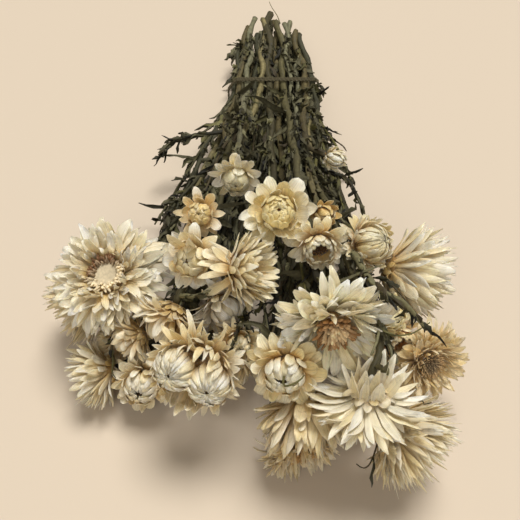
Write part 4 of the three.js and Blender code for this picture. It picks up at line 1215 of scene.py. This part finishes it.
def dress_shoots(stems, leaves, heads, material):
    """Each pair of stems with its side twigs and its leaves, those of the solids first."""
    strays = stray_twigs(stems)
    for shoot in range(len(stems) // 2):
        rng = np.random.default_rng(SHOOT_SEED + shoot)
        grown = [SimpleNamespace(**{**vars(leaf), "width": DRIED_WIDTH * leaf.width}) for leaf in leaves
                 if leaf.stem.shoot == shoot]
        parts = []
        for stem in (stem for stem in stems if stem.shoot == shoot):
            parts.append(stem_part(stem))
            line, _ = smooth_line(stem.points, LEAF_STEP)
            grown += clinging_leaves(stem, line, LEAVES_ON_STEM, heads, rng)
            by_tie = line[line[:, 1] > TIE_LINE + BY_TIE_FROM]
            grown += clinging_leaves(stem, by_tie, LEAVES_BY_TIE, heads, rng, size=0.9)
            for twig in side_twigs(stem, rng):
                parts.append(twig_part(twig, TWIG_RADIUS, rng))
                grown += clinging_leaves(stem, twig[::-1], LEAVES_ON_TWIG, heads, rng, size=0.8)
            for _, twig, thickness, count in (stray for stray in strays if stray[0] is stem):
                parts.append(twig_part(twig, thickness, rng))
                grown += clinging_leaves(stem, twig[::-1], count, heads, rng, size=0.75, keep_out=0.35)
        parts.append(leaf_part(grown, rng))
        number = f"{shoot + 1:02d}"
        make_piece("leafy_shoot_" + number, parts, material, "leafy_stems_" + number)


# ---------- tie ----------


def loop_round(stems, distance, count):
    """Convex loop at a distance round the stems' section at the tie."""
    section = np.array([stem.points[STEM_STEPS + 2][[0, 2]] for stem in stems])
    centre = section.mean(0)
    angles = ring_angles(count)
    directions = np.stack([np.cos(angles), np.sin(angles)], 1)
    reach = ((section - centre) @ directions.T).max(0)
    slope = (np.roll(reach, -1) - np.roll(reach, 1)) / (2 * angles[1])
    normals = np.stack([-directions[:, 1], directions[:, 0]], 1)
    return centre + (reach + distance)[:, None] * directions + slope[:, None] * normals


def dress_tie(stems, material):
    """Turns of two-ply twine round the stems."""
    loop = loop_round(stems, STEM_RADIUS + TWINE_SLACK + TWINE_THICKNESS / 2, TURN_POINTS)
    t = np.arange(TWINE_TURNS * TURN_POINTS + TWINE_OVERLAP)
    path = np.zeros((len(t), 3))
    path[:, [0, 2]] = loop[t % TURN_POINTS]
    path[:, 1] = TIE_LINE + TURN_WIDTH * (t / TURN_POINTS - TWINE_TURNS / 2) * TURN_SPACING
    keep_above(path, TWINE_THICKNESS / 2 + 0.05)
    fine, _ = smooth_line(path, TWINE_STATION)
    ahead = unit(np.gradient(fine, axis=0))
    side = unit(np.cross(ahead, ALONG))
    over = np.cross(ahead, side)
    angle = np.arange(len(fine)) * PLY_TWIST
    plies = np.stack([fine + PLY_OFFSET * (np.cos(angle + phase)[:, None] * side
                                           + np.sin(angle + phase)[:, None] * over)
                      for phase in (0, math.pi)])
    points = tubes(plies, np.full(plies.shape[:2] + (PLY_SIDES,), PLY_RADIUS), ALONG)
    keep_above(points, LOWEST_TWINE)
    twine = part(points, linear(TWINE_TINT), along=(np.arange(len(fine)) / FIBRE_GRAIN)[None, :, None])
    make_piece("twine_turns", [twine], material, "binding_twine")


# ---------- materials ----------


def set_inputs(node, inputs):
    """Gives a node's inputs their values, or links them to the outputs of other nodes."""
    for socket, value in inputs.items():
        if isinstance(value, bpy.types.NodeSocket):
            node.id_data.links.new(value, node.inputs[socket])
        else:
            node.inputs[socket].default_value = value


def add_node(nodes, kind, inputs, output, **settings):
    """One output of a new shader node."""
    node = nodes.new("ShaderNode" + kind)
    for key, value in settings.items():
        setattr(node, key, value)
    set_inputs(node, inputs)
    return node.outputs[output]


def ranged(nodes, value, to_low, to_high):
    """Spreads the middle of a noise over a range."""
    inputs = {"Value": value, "From Min": 0.3, "From Max": 0.7, "To Min": to_low, "To Max": to_high}
    return add_node(nodes, "MapRange", inputs, "Result")


def relief(nodes, height, strength, depth):
    return add_node(nodes, "Bump", {"Height": height, "Strength": strength, "Distance": depth}, "Normal")


def blank_material(name):
    material = bpy.data.materials.new(name)
    material.use_nodes = True
    return material, material.node_tree.nodes


def new_material(name, roughness, bump, veins, mottle):
    """Colour from the tint, broken by lengthwise veins and by mottling, with both in the relief.

    Veins and mottling are each given as how fine they are and how strongly they show.
    """
    material, nodes = blank_material(name)
    grain = add_node(nodes, "Attribute", {}, "Vector", attribute_name="grain")
    stretched = add_node(nodes, "VectorMath", {0: grain, 1: (GRAIN_LENGTH, veins[0], GRAIN_SCATTER)},
                         "Vector", operation="MULTIPLY")
    vein = add_node(nodes, "TexNoise", {"Vector": stretched, "Scale": 1.0, "Detail": 3.0}, "Fac")
    place = add_node(nodes, "TexCoord", {}, "Object")
    spots = add_node(nodes, "TexNoise", {"Vector": place, "Scale": mottle[0], "Detail": 4.0}, "Fac")
    vein_light = ranged(nodes, vein, 1 - veins[1], 1 + veins[1])
    spot_light = ranged(nodes, spots, 1 - mottle[1], 1 + mottle[1])
    light = add_node(nodes, "Math", {0: vein_light, 1: spot_light}, "Value", operation="MULTIPLY")
    tint = add_node(nodes, "Attribute", {}, "Color", attribute_name="tint")
    height = add_node(nodes, "Math", {0: vein, 1: spots}, "Value", operation="ADD")
    set_inputs(nodes["Principled BSDF"], {
        "Base Color": add_node(nodes, "VectorMath", {0: tint, "Scale": light}, "Vector", operation="SCALE"),
        "Normal": relief(nodes, height, bump, RELIEF_DEPTH),
        "Roughness": ranged(nodes, spots, roughness - ROUGHNESS_SPREAD, roughness + ROUGHNESS_SPREAD),
    })
    return material


def bract_material():
    """Thin silky paper that lets some light through."""
    material = new_material("papery_bract", 0.31, 0.9, veins=(7.0, 0.16), mottle=(260, 0.07))
    set_inputs(material.node_tree.nodes["Principled BSDF"], {
        "Subsurface Weight": 0.2,
        "Subsurface Radius": (1.0, 0.7, 0.4),
        "Subsurface Scale": 0.0015,
        "Specular IOR Level": 0.85,
        "Sheen Weight": 0.2,
        "Sheen Roughness": 0.4,
    })
    return material


def floor_material():
    """Matt paper with a very fine tooth."""
    material, nodes = blank_material("pale_floor")
    tooth = add_node(nodes, "TexNoise", {"Scale": 900}, "Fac")
    set_inputs(nodes["Principled BSDF"], {
        "Base Color": (*linear(FLOOR_TINT), 1),
        "Normal": relief(nodes, tooth, 0.05, 0.0002),
        "Roughness": 0.75,
    })
    return material


# ---------- stage ----------


def make_stage():
    """The plain floor, out to the horizon."""
    mesh = bpy.data.meshes.new("floor")
    corners = [(x * FLOOR_REACH, y * FLOOR_REACH, 0) for x, y in ((-1, -1), (1, -1), (1, 1), (-1, 1))]
    mesh.from_pydata(corners, [], [(0, 1, 2, 3)])
    mesh.materials.append(floor_material())
    floor = bpy.data.objects.new("floor", mesh)
    bpy.context.scene.collection.objects.link(floor)


def make_camera():
    """The photograph's view, from the side of the heads."""
    data = bpy.data.cameras.new("camera")
    data.sensor_width = CAMERA_SENSOR
    data.lens = CAMERA_LENS
    data.clip_start = 0.01
    camera = bpy.data.objects.new("camera", data)
    camera.location = CAMERA_PLACE
    camera.rotation_euler = (math.radians(CAMERA_TILT), 0, 0)
    bpy.context.scene.collection.objects.link(camera)
    bpy.context.scene.camera = camera


def make_sun(name, toward, spread, energy):
    """Light from a direction, as soft as its spread in degrees."""
    data = bpy.data.lights.new(name, "SUN")
    data.angle = math.radians(spread)
    data.energy = energy
    data.color = SUN_LIGHT
    light = bpy.data.objects.new(name, data)
    x, y, z = unit(np.array(toward))
    light.rotation_euler = (math.acos(z), 0, math.atan2(y, x) + math.pi / 2)
    bpy.context.scene.collection.objects.link(light)


def make_world():
    """Even warm light from all round."""
    world = bpy.data.worlds.new("soft_world")
    world.use_nodes = True
    set_inputs(world.node_tree.nodes["Background"], {"Color": (*SKY_LIGHT, 1), "Strength": SKY_STRENGTH})
    bpy.context.scene.world = world
    bpy.context.scene.view_settings.view_transform = "Standard"


make_camera()
make_stage()
make_world()
make_sun("softbox", (0.14, 0.25, 1.0), spread=28, energy=2.88)
make_sun("front", (-0.10, -0.70, 0.70), spread=40, energy=0.8)

heads = [lay_out_head(number, row) for number, row in enumerate(HEADS, 1)]
stems = [lay_out_stem(*slot) for slot in slots_at_tie(heads)]
relax(stems, heads)
leaves = lay_out_leaves(stems, heads)

papery = bract_material()
floral = new_material("floret", 0.8, 0.3, veins=(3.0, 0.12), mottle=(700, 0.15))
woody = new_material("dry_stem_and_leaf", 0.68, 0.9, veins=(9.0, 0.28), mottle=(420, 0.30))
fibrous = new_material("twine_fibre", 0.85, 0.8, veins=(14.0, 0.25), mottle=(900, 0.12))

for head in heads:
    dress_head(head, heads, papery)
    if head.form in CUP_FLOORS:
        dress_disc(head, floral)
dress_shoots(stems, leaves, heads, woody)
dress_tie(stems, fibrous)
